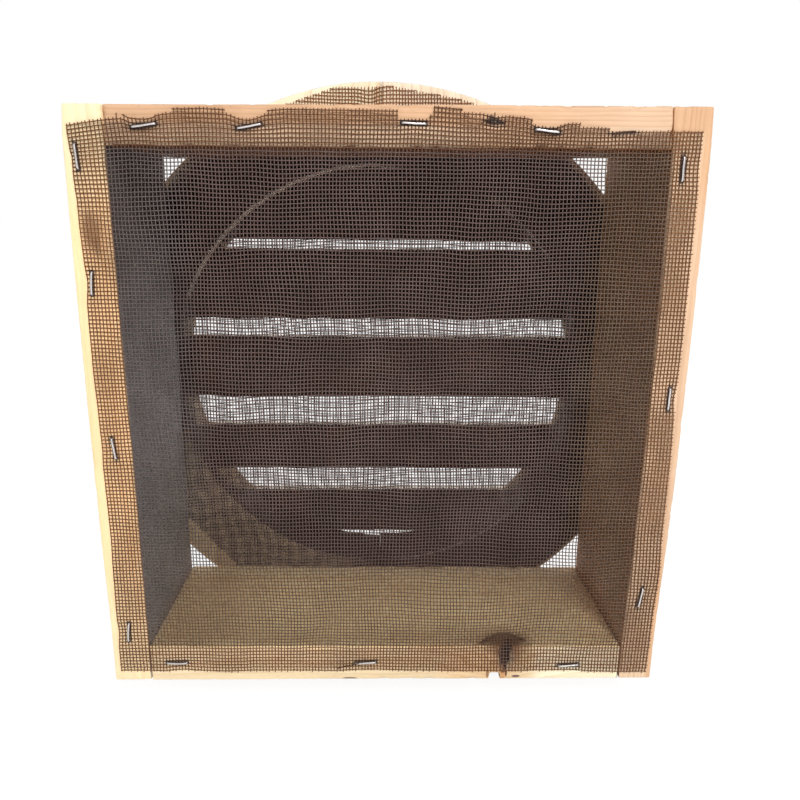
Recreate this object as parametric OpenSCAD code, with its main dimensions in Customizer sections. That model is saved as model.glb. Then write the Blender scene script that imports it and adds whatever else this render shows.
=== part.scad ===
// Screened cage box on a round slatted base.
// Frame: +Z up, +X to the right, the screened face looks towards -Y.
// Origin: on the axis of the round base, in the plane its slats rest on.

/* [Box] */
// Outside width of the square box
box_width = 276; // [240:2:290]
// Outside height of the square box
box_height = 279; // [240:3:290]
// Depth of the box boards, front to back
box_depth = 89; // [60:1:140]
// Thickness of the box boards
board_t = 17.5; // [15:0.5:22]
// Sideways offset of the box from the base axis
box_offset = 3.7; // [0:0.1:5]

/* [Round base] */
// Outside radius of the round base
ring_r = 160; // [158:1:175]
// Radius of the hole in the round base
hole_r = 118; // [100:1:120]
// Thickness of the round base
ring_t = 38; // [25:1:45]
// Gap at each glued butt joint of the two half rings
seam_gap = 0.15; // [0.1:0.05:0.5]

/* [Slats] */
// Thickness of the slats
slat_t = 8; // [6:1:12]
// How far the sawn slat ends stay inside the rim
slat_inset = 1.5; // [1:0.5:4]

/* [Screens] */
// Thickness of the insect screen
screen_t = 0.6; // [0.4:0.1:0.8]
// Space left on each face of a screen
screen_gap = 0.1; // [0.05:0.05:0.15]
// Radius the base screen is trimmed to
base_screen_r = 157; // [154:0.5:157.5]
// Distance of the straight corner cut of the base screen from the axis
corner_cut_r = 147.5; // [146:0.5:150]

/* [Fasteners] */
// Crown length of a staple, outside to outside
crown_length = 10.7; // [10:0.1:12]
// Leg length of a staple
leg_length = 8; // [6:1:10]
// Width of the staple wire across the crown
wire_width = 1.2; // [0.9:0.1:1.4]
// Thickness of the staple wire
wire_t = 0.6; // [0.5:0.1:0.8]
// Length of the corner nails
corner_nail_length = 50; // [40:5:60]
// Length of the slat nails
slat_nail_length = 28; // [20:2:32]
// Length of the screws that hold the box on the base
box_screw_length = 60; // [50:2:66]

/* [Hidden] */
$fn = 96;

clearance = 0.1;                        // around a fastener in its hole
overcut = 1;                            // how far a cutter runs past the face it opens
screen_room = screen_t + 2*screen_gap;  // a screen with the space on both its faces

// The layers from the slats forward, and the outer faces of the box
ring_back = -slat_t;
ring_front = ring_back - ring_t;
box_back = ring_front - screen_room;
box_front = box_back - box_depth;
box_left = box_offset - box_width/2;
box_right = box_offset + box_width/2;
box_top = box_height/2;
left_mid_x = box_left + board_t/2;      // middles of the board thicknesses
right_mid_x = box_right - board_t/2;
top_mid_z = box_top - board_t/2;

// ---- Staples ----
front_crown_origin = [box_offset, box_front - screen_room, 0];
ring_crown_origin = [0, ring_front - screen_room, 0];
sunk_depth = 1.6;
sunk_crown_origin = front_crown_origin + [0, sunk_depth, 0];
leg_overlap = 0.05;                     // how far a leg runs into the crown

// Places: [x, z, turn of the crown in degrees, counterclockwise from the front];
// x is measured from the box axis on the front, from the base axis on the ring
front_places = [
    // top edge
    [-103.3, 129.6, 8], [-58.9, 129.7, 10], [10.8, 131.6, -2], [67.8, 129.2, -6],
    // bottom edge
    [-106.9, -129.9, 0], [-10.4, -130, 3], [94.5, -131.8, 4],
    // left edge
    [-132.7, 116.8, 94], [-131.4, 63.1, 85], [-128.6, -14.3, 97], [-130, -112.1, 84],
    // right edge
    [127.6, 114.2, 90], [132.2, 11, 89], [128.5, -93, 81]];
sunk_places = [[44.8, 132.6, -8]];
rusty_places = [[100.7, 128.9, 5]];
// On the rim, where it stands clear of the box
ring_places = [[-149, 22, 82], [-149.5, -19, 95], [150, 18, 97], [149, -24, 84],
               [-27, -149, 8], [31, -148.6, -9]];

// A staple with its crown in front of y = 0 and its legs along +Y; grow makes its pocket
module staple(grow) {
    translate([-crown_length/2 - grow, -wire_t - grow, -wire_width/2 - grow])
        cube([crown_length + 2*grow, wire_t + 2*grow, wire_width + 2*grow]);
    for (side = [-1, 1])
        translate([side*(crown_length - wire_t)/2, 0, 0])
            translate([-wire_t/2 - grow, -grow - leg_overlap, -wire_width/2 - grow])
                cube([wire_t + 2*grow, leg_length + leg_overlap + 2*grow, wire_width + 2*grow]);
}

module staples(places, origin, grow = 0)
    for (place = places)
        translate(origin + [place[0], 0, place[1]])
            rotate([0, -place[2], 0])
                staple(grow);

module front_staple_cuts() {
    staples(concat(front_places, rusty_places), front_crown_origin, clearance);
    staples(sunk_places, sunk_crown_origin, clearance);
}

module ring_staple_cuts() staples(ring_places, ring_crown_origin, clearance);

module front_staples() color([0.75, 0.76, 0.78]) staples(front_places, front_crown_origin);
module sunk_staple() color([0.25, 0.24, 0.24]) staples(sunk_places, sunk_crown_origin);
module rusty_staple() color([0.36, 0.20, 0.12]) staples(rusty_places, front_crown_origin);
module ring_screen_staples() color([0.75, 0.76, 0.78]) staples(ring_places, ring_crown_origin);

// ---- Nails ----
nail_point_length = 3;
nail_tip_r = 0.15;
corner_nail_setbacks = [22, 68];        // behind the front of the box
slat_nail_margin = 0.27;                // from each slat edge, as a share of its width

// Each slat: [lower edge, upper edge] above the base axis, from the top down
slat_edges = [[76, 118.5], [27.7, 70.6], [-22.8, 16.6], [-71.6, -41], [-116, -86]];

// Half the chord of a circle at height z
function half_chord(r, z) = sqrt(max(0, r*r - z*z));

// Greatest and least distance of a slat from the height of the axis
function far_z(edges) = max(abs(edges[0]), abs(edges[1]));
function near_z(edges) = edges[0]*edges[1] > 0 ? min(abs(edges[0]), abs(edges[1])) : 0;

// Slat nails sit midway between the slat end and the hole
function slat_nail_x(edges) =
    (half_chord(ring_r - slat_inset, far_z(edges)) + half_chord(hole_r, near_z(edges))) / 2;
function slat_nail_heights(edges) =
    let (margin = (edges[1] - edges[0])*slat_nail_margin)
    [edges[0] + margin, edges[1] - margin];

// A round nail along +Y with the top of its head at y = 0
module nail(shank_d, length, head_d, head_t, grow) rotate([-90, 0, 0]) {
    shank_length = length - nail_point_length;
    translate([0, 0, -grow])
        cylinder(r = head_d/2 + grow, h = head_t + 2*grow, $fn = 32);
    cylinder(r = shank_d/2 + grow, h = shank_length, $fn = 24);
    translate([0, 0, shank_length])
        cylinder(r1 = shank_d/2 + grow, r2 = nail_tip_r + grow, h = nail_point_length, $fn = 24);
}

// Driven through the side boards into the ends of the top and bottom boards
module each_corner_nail(grow = 0)
    for (setback = corner_nail_setbacks, level = [-1, 1], side = [-1, 1])
        translate([box_offset + side*box_width/2, box_front + setback, level*top_mid_z])
            rotate([0, 0, side*90])
                nail(shank_d = 2.5, length = corner_nail_length, head_d = 5.5, head_t = 1,
                     grow = grow);

module each_slat_nail(grow = 0)
    for (edges = slat_edges, side = [-1, 1], z = slat_nail_heights(edges))
        translate([side*slat_nail_x(edges), 0, z])
            rotate([0, 0, 180])
                nail(shank_d = 2, length = slat_nail_length, head_d = 4.6, head_t = 0.9,
                     grow = grow);

module corner_nails() color([0.55, 0.55, 0.56]) each_corner_nail();
module slat_nails() color([0.50, 0.50, 0.52]) each_slat_nail();

// ---- Box screws ----
screw_head_r = 4;
screw_head_h = 2.6;
screw_shank_r = 2;
screw_point_length = 5;
screw_tip_r = 0.2;
head_access = 6;                        // length of the cutter behind a screw head

// [x, z], two into the middle of each board
box_screw_places = [
    [left_mid_x, 22.4], [left_mid_x, -31.5], [right_mid_x, 22.4], [right_mid_x, -31.5],
    [-34, top_mid_z], [38, top_mid_z], [-38, -top_mid_z], [34, -top_mid_z]];

// A countersunk wood screw along +Y with its head at y = 0
module wood_screw(grow) rotate([-90, 0, 0]) {
    shank_length = box_screw_length - screw_point_length;
    translate([0, 0, -grow])
        cylinder(r1 = screw_head_r + grow, r2 = screw_shank_r + grow,
                 h = screw_head_h + grow, $fn = 32);
    cylinder(r = screw_shank_r + grow, h = shank_length, $fn = 24);
    translate([0, 0, shank_length])
        cylinder(r1 = screw_shank_r + grow, r2 = screw_tip_r + grow,
                 h = screw_point_length, $fn = 24);
    if (grow > 0)
        translate([0, 0, -head_access])
            cylinder(r = screw_head_r + grow, h = head_access, $fn = 32);
}

module each_box_screw(grow = 0)
    for (place = box_screw_places)
        translate([place[0], ring_back, place[1]])
            rotate([0, 0, 180])
                wood_screw(grow);

module box_screws() color([0.78, 0.72, 0.50]) each_box_screw();

// ---- Box ----
// A board with its front lower left corner at x, z
module board(x, z, width, height) difference() {
    translate([x, box_front, z]) cube([width, box_depth, height]);
    front_staple_cuts();
    each_corner_nail(clearance);
    each_box_screw(clearance);
}

module side_board(x) board(x, -box_top, board_t, box_height);

// Lies between the side boards
module level_board(z) board(box_left + board_t, z, box_width - 2*board_t, board_t);

// Break-out around a fallen knot at the front edge of the bottom board
module knot_breakout() translate([box_offset, box_front, -box_top]) {
    // shallow bowl in the upper arris
    translate([61, 0, board_t + 5]) scale([1, 0.62, 0.5]) sphere(r = 14, $fn = 40);
    // split down the edge
    translate([58.5, -overcut, 2]) rotate([0, 5, 0]) cube([4.2, 7, board_t]);
    // notch in the lower arris
    translate([53.4, -overcut, -overcut]) rotate([0, 4, 0]) cube([5.8, 9, 6.2]);
    // round pit in the upper face
    translate([60, 9, board_t - 2]) cylinder(r = 3.2, h = 5, $fn = 32);
}

module left_board() color([0.86, 0.74, 0.52]) side_board(box_left);
module right_board() color([0.80, 0.62, 0.44]) side_board(box_right - board_t);
module top_board() color([0.83, 0.62, 0.42]) level_board(box_top - board_t);
module bottom_board() color([0.88, 0.75, 0.54]) difference() {
    level_board(-box_top);
    knot_breakout();
}

// ---- Screens ----
// Hand-cut front screen, [x, z] from the box axis, counterclockwise from the lower left
front_screen_outline = [
    // bottom and right edges
    [-135.4, -133.4], [135, -135.6], [136.8, -89], [136.4, -19], [135.8, 57.6],
    // top edge, with a bite torn out over one staple at x = 5 to 19.5
    [134.9, 129.1], [74, 131.6], [43, 135.6], [20.5, 137.8], [19.5, 134], [5, 134],
    [4, 136.6], [-43, 137], [-59, 133], [-69, 135.7], [-94, 135.4], [-105, 132.2],
    [-121, 132.4],
    // left edge
    [-135.4, 129.8], [-133.8, 73.4], [-134.3, 19], [-134.1, -61.4]];
corner_cutter = [120, 10, 40];

module front_screen() color([0.36, 0.29, 0.22]) difference() {
    translate([box_offset, box_front - screen_gap, 0])
        rotate([90, 0, 0])
            linear_extrude(screen_t)
                polygon(front_screen_outline);
    front_staple_cuts();
}

module ring_screen() color([0.32, 0.26, 0.20]) difference() {
    translate([0, ring_front - screen_gap, 0])
        rotate([90, 0, 0])
            cylinder(r = base_screen_r, h = screen_t);
    // straight cut at the lower left, where the sheet's corner was short
    rotate([0, -135, 0])
        translate([-corner_cutter[0]/2, ring_front - corner_cutter[1]/2, corner_cut_r])
            cube(corner_cutter);
    ring_staple_cuts();
    each_box_screw(clearance);
}

// ---- Round base: two half rings butted on the vertical diameter ----
hole_drop = 0.5;                        // hole centre below the base axis
right_hole_step = 0.9;                  // how much smaller the right half's hole radius is

// side is -1 for the left half, 1 for the right
module half_ring(side, inner_r) difference() {
    translate([0, ring_back, 0])
        rotate([90, 0, 0])
            cylinder(r = ring_r, h = ring_t);
    translate([0, ring_back + overcut, -hole_drop])
        rotate([90, 0, 0])
            cylinder(r = inner_r, h = ring_t + 2*overcut);
    // the other half and this half's share of the seam
    translate([side > 0 ? -ring_r - overcut : -seam_gap/2,
               ring_front - overcut, -ring_r - overcut])
        cube([ring_r + overcut + seam_gap/2, ring_t + 2*overcut, 2*(ring_r + overcut)]);
    ring_staple_cuts();
    each_slat_nail(clearance);
    each_box_screw(clearance);
}

module ring_left_half() color([0.84, 0.72, 0.50]) half_ring(-1, hole_r);
module ring_right_half() color([0.70, 0.52, 0.36]) half_ring(1, hole_r - right_hole_step);

// ---- Slats: laths nailed across the back, their ends sawn to the rim ----
module slat(edges) difference() {
    intersection() {
        rotate([90, 0, 0]) cylinder(r = ring_r - slat_inset, h = slat_t);
        translate([-ring_r, -slat_t, edges[0]])
            cube([2*ring_r, slat_t, edges[1] - edges[0]]);
    }
    each_slat_nail(clearance);
}

module slat_1_top() color([0.42, 0.30, 0.22]) slat(slat_edges[0]);
module slat_2() color([0.46, 0.33, 0.24]) slat(slat_edges[1]);
module slat_3_middle() color([0.50, 0.37, 0.27]) slat(slat_edges[2]);
module slat_4() color([0.44, 0.32, 0.23]) slat(slat_edges[3]);
module slat_5_bottom() color([0.47, 0.34, 0.25]) slat(slat_edges[4]);

left_board();
right_board();
top_board();
bottom_board();
front_screen();
front_staples();
sunk_staple();
rusty_staple();
corner_nails();
ring_left_half();
ring_right_half();
ring_screen();
ring_screen_staples();
slat_1_top();
slat_2();
slat_3_middle();
slat_4();
slat_5_bottom();
slat_nails();
box_screws();
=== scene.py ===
"""A screened wooden box fixed to a round wooden base.

Four pine boards stand round a square opening, and insect screen is stapled over their front
edges. Behind them is a ring in two halves, with its own screen, and five slats cross it.
X runs left to right, Y from front to back and Z up. The ring's centre is at x = z = 0; the
box is centred on x = AXIS_X. Lengths are millimetres until a mesh is made, then metres.
"""
import math
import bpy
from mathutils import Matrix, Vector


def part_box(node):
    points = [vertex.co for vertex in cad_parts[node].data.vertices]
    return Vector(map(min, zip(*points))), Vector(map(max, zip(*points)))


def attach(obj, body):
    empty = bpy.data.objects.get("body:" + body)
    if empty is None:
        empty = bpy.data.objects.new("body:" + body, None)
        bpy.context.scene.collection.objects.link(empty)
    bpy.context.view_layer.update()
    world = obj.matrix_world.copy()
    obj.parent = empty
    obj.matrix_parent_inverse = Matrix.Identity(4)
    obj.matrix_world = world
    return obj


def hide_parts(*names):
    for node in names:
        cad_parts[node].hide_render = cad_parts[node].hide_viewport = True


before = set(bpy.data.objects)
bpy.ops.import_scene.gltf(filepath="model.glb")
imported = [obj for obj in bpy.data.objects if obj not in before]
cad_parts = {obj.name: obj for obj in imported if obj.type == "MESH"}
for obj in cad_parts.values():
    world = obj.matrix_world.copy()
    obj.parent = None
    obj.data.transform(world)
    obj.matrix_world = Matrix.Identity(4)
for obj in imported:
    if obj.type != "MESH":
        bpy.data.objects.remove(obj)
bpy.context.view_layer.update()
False                            # a bare value with no effect

import bmesh
import bpy
import numpy as np
from mathutils import Matrix, Vector

MM = 0.001


# ---------------------------------------------------------------- main dimensions
def box_of(node):
    lo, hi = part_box(node)
    return np.array(lo) / MM, np.array(hi) / MM


BOARDS = {side: box_of(side + "_board") for side in ("left", "right", "top", "bottom")}
LEFT_LO, LEFT_HI = BOARDS["left"]
RIGHT_LO, RIGHT_HI = BOARDS["right"]
TOP_LO, TOP_HI = BOARDS["top"]
BOTTOM_LO, BOTTOM_HI = BOARDS["bottom"]
FRONT, BACK = LEFT_LO[1], LEFT_HI[1]  # front and back planes of the boards
AXIS_X = (LEFT_LO[0] + RIGHT_HI[0]) / 2
BOX_TOP = TOP_HI[2]
BOX_FOOT = -BOX_TOP
BOARD = LEFT_HI[0] - LEFT_LO[0]       # board thickness
SILL = BOX_FOOT + BOARD               # upper face of the bottom board
OPEN_X = (RIGHT_LO[0] - LEFT_HI[0]) / 2   # half width of the opening
OPEN_Z = (TOP_LO[2] - BOTTOM_HI[2]) / 2   # half height of the opening

RING_LO, RING_HI = box_of("ring_left_half")
RING_R = RING_HI[2]
RING_FRONT, RING_BACK = RING_LO[1], RING_HI[1]
HOLE_LEFT, HOLE_RIGHT = 118.0, 117.1  # radius of the hole in each half
HOLE_Z = -0.5

# Staples: x from the box axis, z, turn of the crown in degrees.
STAPLES = {
    "top": [(-103.3, 129.6, 8), (-58.9, 129.7, 10), (10.8, 131.6, -2), (67.8, 129.2, -6)],
    "sunk": [(44.8, 132.6, -8)],
    "rusty": [(100.7, 128.9, 5)],
    "bottom": [(-106.9, -129.9, 0), (-10.4, -130.0, 3), (94.5, -131.8, 4)],
    "left": [(-132.7, 116.8, 94), (-131.4, 63.1, 85), (-128.6, -14.3, 97), (-130.0, -112.1, 84)],
    "right": [(127.6, 114.2, 90), (132.2, 11, 89), (128.5, -93.0, 81)],
}
RING_STAPLES = [(-149, 22, 82), (-149.5, -19, 95), (150, 18, 97), (149, -24, 84),
                (-27, -149, 8), (31, -148.6, -9)]      # x, z, turn


# ---------------------------------------------------------------- numbers
class Waves:
    """Smooth repeatable noise, about -1 to 1: a sum of plane waves in 2 or 3 dimensions."""

    def __init__(self, seed, dimensions, wavelength, count=14, spread=1.8, stretch=1.0):
        rng = np.random.default_rng(seed)
        heading = rng.normal(size=(count, dimensions))
        heading /= np.linalg.norm(heading, axis=1, keepdims=True)
        lengths = wavelength * spread ** rng.uniform(-1, 1, count)
        self.rate = heading * (2 * np.pi / lengths)[:, None] / np.array(stretch)
        self.phase = rng.uniform(0, 2 * np.pi, count)
        self.height = rng.uniform(0.5, 1, count)
        self.height /= np.sqrt((self.height ** 2).sum() / 2) * 1.6

    def __call__(self, *coords):
        coords = np.stack([np.asarray(c, float) for c in coords], -1)
        return (np.sin(coords @ self.rate.T + self.phase) * self.height).sum(-1)


def smooth(start, end, x):
    """0 at start, 1 at end, eased between; start may be the larger."""
    t = np.clip((x - start) / (end - start), 0, 1)
    return t * t * (3 - 2 * t)


def lerp(a, b, t):
    return a + (b - a) * t


def unit(vectors):
    length = np.linalg.norm(vectors, axis=-1, keepdims=True)
    return vectors / np.maximum(length, 1e-12)


# ---------------------------------------------------------------- meshes
def link(name, data):
    ob = bpy.data.objects.new(name, data)
    bpy.context.scene.collection.objects.link(ob)
    return ob


def shade_smooth(mesh):
    mesh.polygons.foreach_set("use_smooth", np.ones(len(mesh.polygons), bool))


def make_object(name, verts, faces):
    mesh = bpy.data.meshes.new(name)
    mesh.from_pydata([tuple(v) for v in np.asarray(verts) * MM], [], faces)
    mesh.validate()
    shade_smooth(mesh)
    mesh.update()
    return link(name, mesh)


def give(ob, material, node):
    """Dress an object, put it under the root body and hide the CAD node it stands in for."""
    ob.data.materials.clear()
    ob.data.materials.append(material)
    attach(ob, "root")
    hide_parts(node)
    return ob


class TubeSet:
    """Closed tubes gathered into one mesh. A tube is an array: stations x sides x 3."""

    def __init__(self):
        self.verts, self.quads, self.caps, self.count = [], [], [], 0

    def add(self, rings):
        stations, sides = rings.shape[:2]
        side = np.arange(sides)
        start = self.count + np.arange(stations - 1)[:, None] * sides
        here, beside = start + side, start + (side + 1) % sides
        quads = np.stack([here, beside, beside + sides, here + sides], -1)
        self.quads.append(quads.reshape(-1, 4))
        self.caps += [self.count + side[::-1], self.count + (stations - 1) * sides + side]
        self.verts.append(rings.reshape(-1, 3))
        self.count += stations * sides

    def build(self, name):
        mesh = bpy.data.meshes.new(name)
        verts = (np.concatenate(self.verts) * MM).astype(np.float32)
        quads = np.concatenate(self.quads)
        loops = np.concatenate([quads.ravel()] + self.caps).astype(np.int32)
        sizes = np.array([4] * len(quads) + [len(c) for c in self.caps], np.int32)
        starts = np.concatenate([[0], np.cumsum(sizes)[:-1]]).astype(np.int32)
        mesh.vertices.add(len(verts))
        mesh.vertices.foreach_set("co", verts.ravel())
        mesh.loops.add(len(loops))
        mesh.loops.foreach_set("vertex_index", loops)
        mesh.polygons.add(len(sizes))
        mesh.polygons.foreach_set("loop_start", starts)
        shade_smooth(mesh)
        mesh.update(calc_edges=True)
        mesh.validate()
        return link(name, mesh)


def wire(line, radius, sides):
    """Rings of a round tube along a polyline."""
    along = unit(np.gradient(line, axis=0))
    across = unit(np.cross(along, (0.0, 1.0, 0.0)))
    outward = np.cross(across, along)
    angle = (np.arange(sides) * 2 * np.pi / sides)[:, None]
    offset = np.cos(angle) * across[:, None, :] + np.sin(angle) * outward[:, None, :]
    return line[:, None, :] + radius * offset


def turn_outward(ob, crease=None):
    """Face every normal outward, and keep edges bent more than crease (radians) sharp."""
    bm = bmesh.new()
    bm.from_mesh(ob.data)
    bmesh.ops.recalc_face_normals(bm, faces=bm.faces)
    if crease is not None:
        for edge in bm.edges:
            if len(edge.link_faces) == 2 and edge.calc_face_angle(0) > crease:
                edge.smooth = False
    bm.to_mesh(ob.data)
    bm.free()


def axis_lines(lo, hi, radius, step):
    count = max(1, int(round((hi - lo - 2 * radius) / step)))
    middle = np.linspace(lo + radius, hi - radius, count + 1)
    return np.concatenate([[lo, lo + 0.35 * radius, lo + 0.7 * radius], middle,
                           [hi - 0.7 * radius, hi - 0.35 * radius, hi]])


def rounded_box(lo, hi, radius, steps):
    """Grid box with round edges; returns vertices and quads."""
    lines = [axis_lines(lo[i], hi[i], radius, steps[i]) for i in range(3)]
    last = [len(line) - 1 for line in lines]
    index, verts, quads = {}, [], []

    def vertex(key):
        if key not in index:
            index[key] = len(verts)
            verts.append([lines[i][key[i]] for i in range(3)])
        return index[key]

    first_way = ((0, 0), (1, 0), (1, 1), (0, 1))
    other_way = ((0, 0), (0, 1), (1, 1), (1, 0))
    for a, b, fixed in ((0, 1, 2), (0, 2, 1), (1, 2, 0)):
        ways = (first_way, other_way) if fixed == 1 else (other_way, first_way)
        for i in range(last[a]):
            for j in range(last[b]):
                for level, corners in zip((0, last[fixed]), ways):
                    quad = []
                    for di, dj in corners:
                        key = [level] * 3
                        key[a], key[b] = i + di, j + dj
                        quad.append(vertex(tuple(key)))
                    quads.append(tuple(quad))
    verts = np.array(verts)
    core = np.clip(verts, lo + radius, hi - radius)
    offset = verts - core
    length = np.linalg.norm(offset, axis=1)
    on = length > 1e-9
    verts[on] = core[on] + offset[on] / length[on][:, None] * radius
    return verts, quads


def vertex_normals(verts, quads):
    quads = np.array(quads)
    a, b, c, d = (verts[quads[:, i]] for i in range(4))
    face = np.cross(c - a, d - b)
    out = np.zeros_like(verts)
    for i in range(4):
        np.add.at(out, quads[:, i], face)
    return unit(out)


def arris_nearness(verts, lo, hi):
    """1 where a point lies close to two faces of the box at once."""
    gap = np.sort(np.minimum(verts - lo, hi - verts), axis=1)
    return np.exp(-((gap[:, 0] ** 2 + gap[:, 1] ** 2) / 0.9 ** 2))


# ---------------------------------------------------------------- shader nodes
class Signal:
    """A shader node output. Arithmetic on it adds Math nodes, or Vector Math for vectors."""

    __array_ufunc__ = None            # lets a numpy number stand on the left

    def __init__(self, tree, socket):
        self.tree, self.socket = tree, socket

    def __add__(self, other): return operate("ADD", self, other)
    def __radd__(self, other): return operate("ADD", other, self)
    def __sub__(self, other): return operate("SUBTRACT", self, other)
    def __rsub__(self, other): return operate("SUBTRACT", other, self)
    def __mul__(self, other): return operate("MULTIPLY", self, other)
    def __truediv__(self, other): return operate("DIVIDE", self, other)
    def __rtruediv__(self, other): return operate("DIVIDE", other, self)
    def __pow__(self, other): return operate("POWER", self, other)
    def __rpow__(self, other): return operate("POWER", other, self)
    def __abs__(self): return math_node("ABSOLUTE", self)


def plug(socket, value):
    if isinstance(value, Signal):
        value.tree.links.new(value.socket, socket)
    else:
        socket.default_value = value


def add_node(kind, inputs, output=0, **settings):
    """Add a node beside the signals it takes in; returns one of its outputs."""
    tree = next(v.tree for v in inputs.values() if isinstance(v, Signal))
    node = tree.nodes.new(kind)
    for key, value in settings.items():
        setattr(node, key, value)
    for key, value in inputs.items():
        plug(node.inputs[key], value)
    return Signal(tree, node.outputs[output])


def math_node(operation, first, second=0.0, clamp=False):
    return add_node("ShaderNodeMath", {0: first, 1: second, 2: 0.0},
                    operation=operation, use_clamp=clamp)


def operate(operation, first, second):
    if any(isinstance(v, tuple) or (isinstance(v, Signal) and v.socket.type == "VECTOR")
           for v in (first, second)):
        return add_node("ShaderNodeVectorMath", {0: first, 1: second}, operation=operation)
    return math_node(operation, first, second)


def maximum(a, b): return math_node("MAXIMUM", a, b)
def root(value): return math_node("SQRT", value)
def fract(value): return math_node("FRACT", value)


def scaled(vector, factor):
    return add_node("ShaderNodeVectorMath", {0: vector, 1: (0, 0, 0), 3: factor},
                    operation="SCALE")


def length_of(vector):
    return add_node("ShaderNodeVectorMath", {0: vector}, output=1, operation="LENGTH")


def split(vector):
    node = vector.tree.nodes.new("ShaderNodeSeparateXYZ")
    plug(node.inputs[0], vector)
    return [Signal(vector.tree, out) for out in node.outputs]


def position(tree):
    """Object coordinates in millimetres."""
    node = tree.nodes.new("ShaderNodeTexCoord")
    return scaled(Signal(tree, node.outputs["Object"]), 1000.0)


def noise(vector, detail=3.0, rough=0.55, scale=1.0, output="Fac"):
    return add_node("ShaderNodeTexNoise", {"Vector": vector, "Scale": scale, "Detail": detail,
                                           "Roughness": rough}, output)


def noise_shift(vector, size):
    """A noise vector about zero."""
    return scaled(noise(vector, output="Color") - (0.5, 0.5, 0.5), size)


def ramp(factor, stops, interpolation="LINEAR"):
    """Colour ramp from (position, colour) stops; a single number is a grey."""
    node = factor.tree.nodes.new("ShaderNodeValToRGB")
    node.color_ramp.interpolation = interpolation
    elements = node.color_ramp.elements
    while len(elements) < len(stops):
        elements.new(0.5)
    for element, (place, colour) in zip(elements, stops):
        element.position = place
        element.color = (*(colour if isinstance(colour, tuple) else (colour,) * 3), 1.0)
    plug(node.inputs["Fac"], factor)
    return Signal(factor.tree, node.outputs["Color"])


def mix(factor, a, b, mode="MIX"):
    a, b = (c if isinstance(c, Signal) else (*c, 1.0) for c in (a, b))
    return add_node("ShaderNodeMix", {"Factor": factor, 6: a, 7: b}, 2,
                    data_type="RGBA", blend_type=mode)


def tint(colour, by):
    return mix(1.0, colour, by, "MULTIPLY")


def tint_where(mask, colour, by):
    return mix(mask, colour, tint(colour, by))


def fade(value, start, end, low=0.0, high=1.0):
    """Eased change from low at start to high at end."""
    return add_node("ShaderNodeMapRange", dict(enumerate((value, start, end, low, high))),
                    interpolation_type="SMOOTHSTEP")


def bump(height, strength, distance):
    return add_node("ShaderNodeBump",
                    {"Strength": strength, "Distance": distance, "Height": height})


def shade(colour, factor):
    return tuple(c * factor for c in colour)


def new_material(name):
    material = bpy.data.materials.new(name)
    material.use_nodes = True
    tree = material.node_tree
    tree.nodes.clear()
    output = tree.nodes.new("ShaderNodeOutputMaterial")
    bsdf = tree.nodes.new("ShaderNodeBsdfPrincipled")
    tree.links.new(bsdf.outputs["BSDF"], output.inputs["Surface"])
    return material, tree, bsdf


def set_inputs(node, inputs):
    for key, value in inputs.items():
        plug(node.inputs[key], value)


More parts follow.
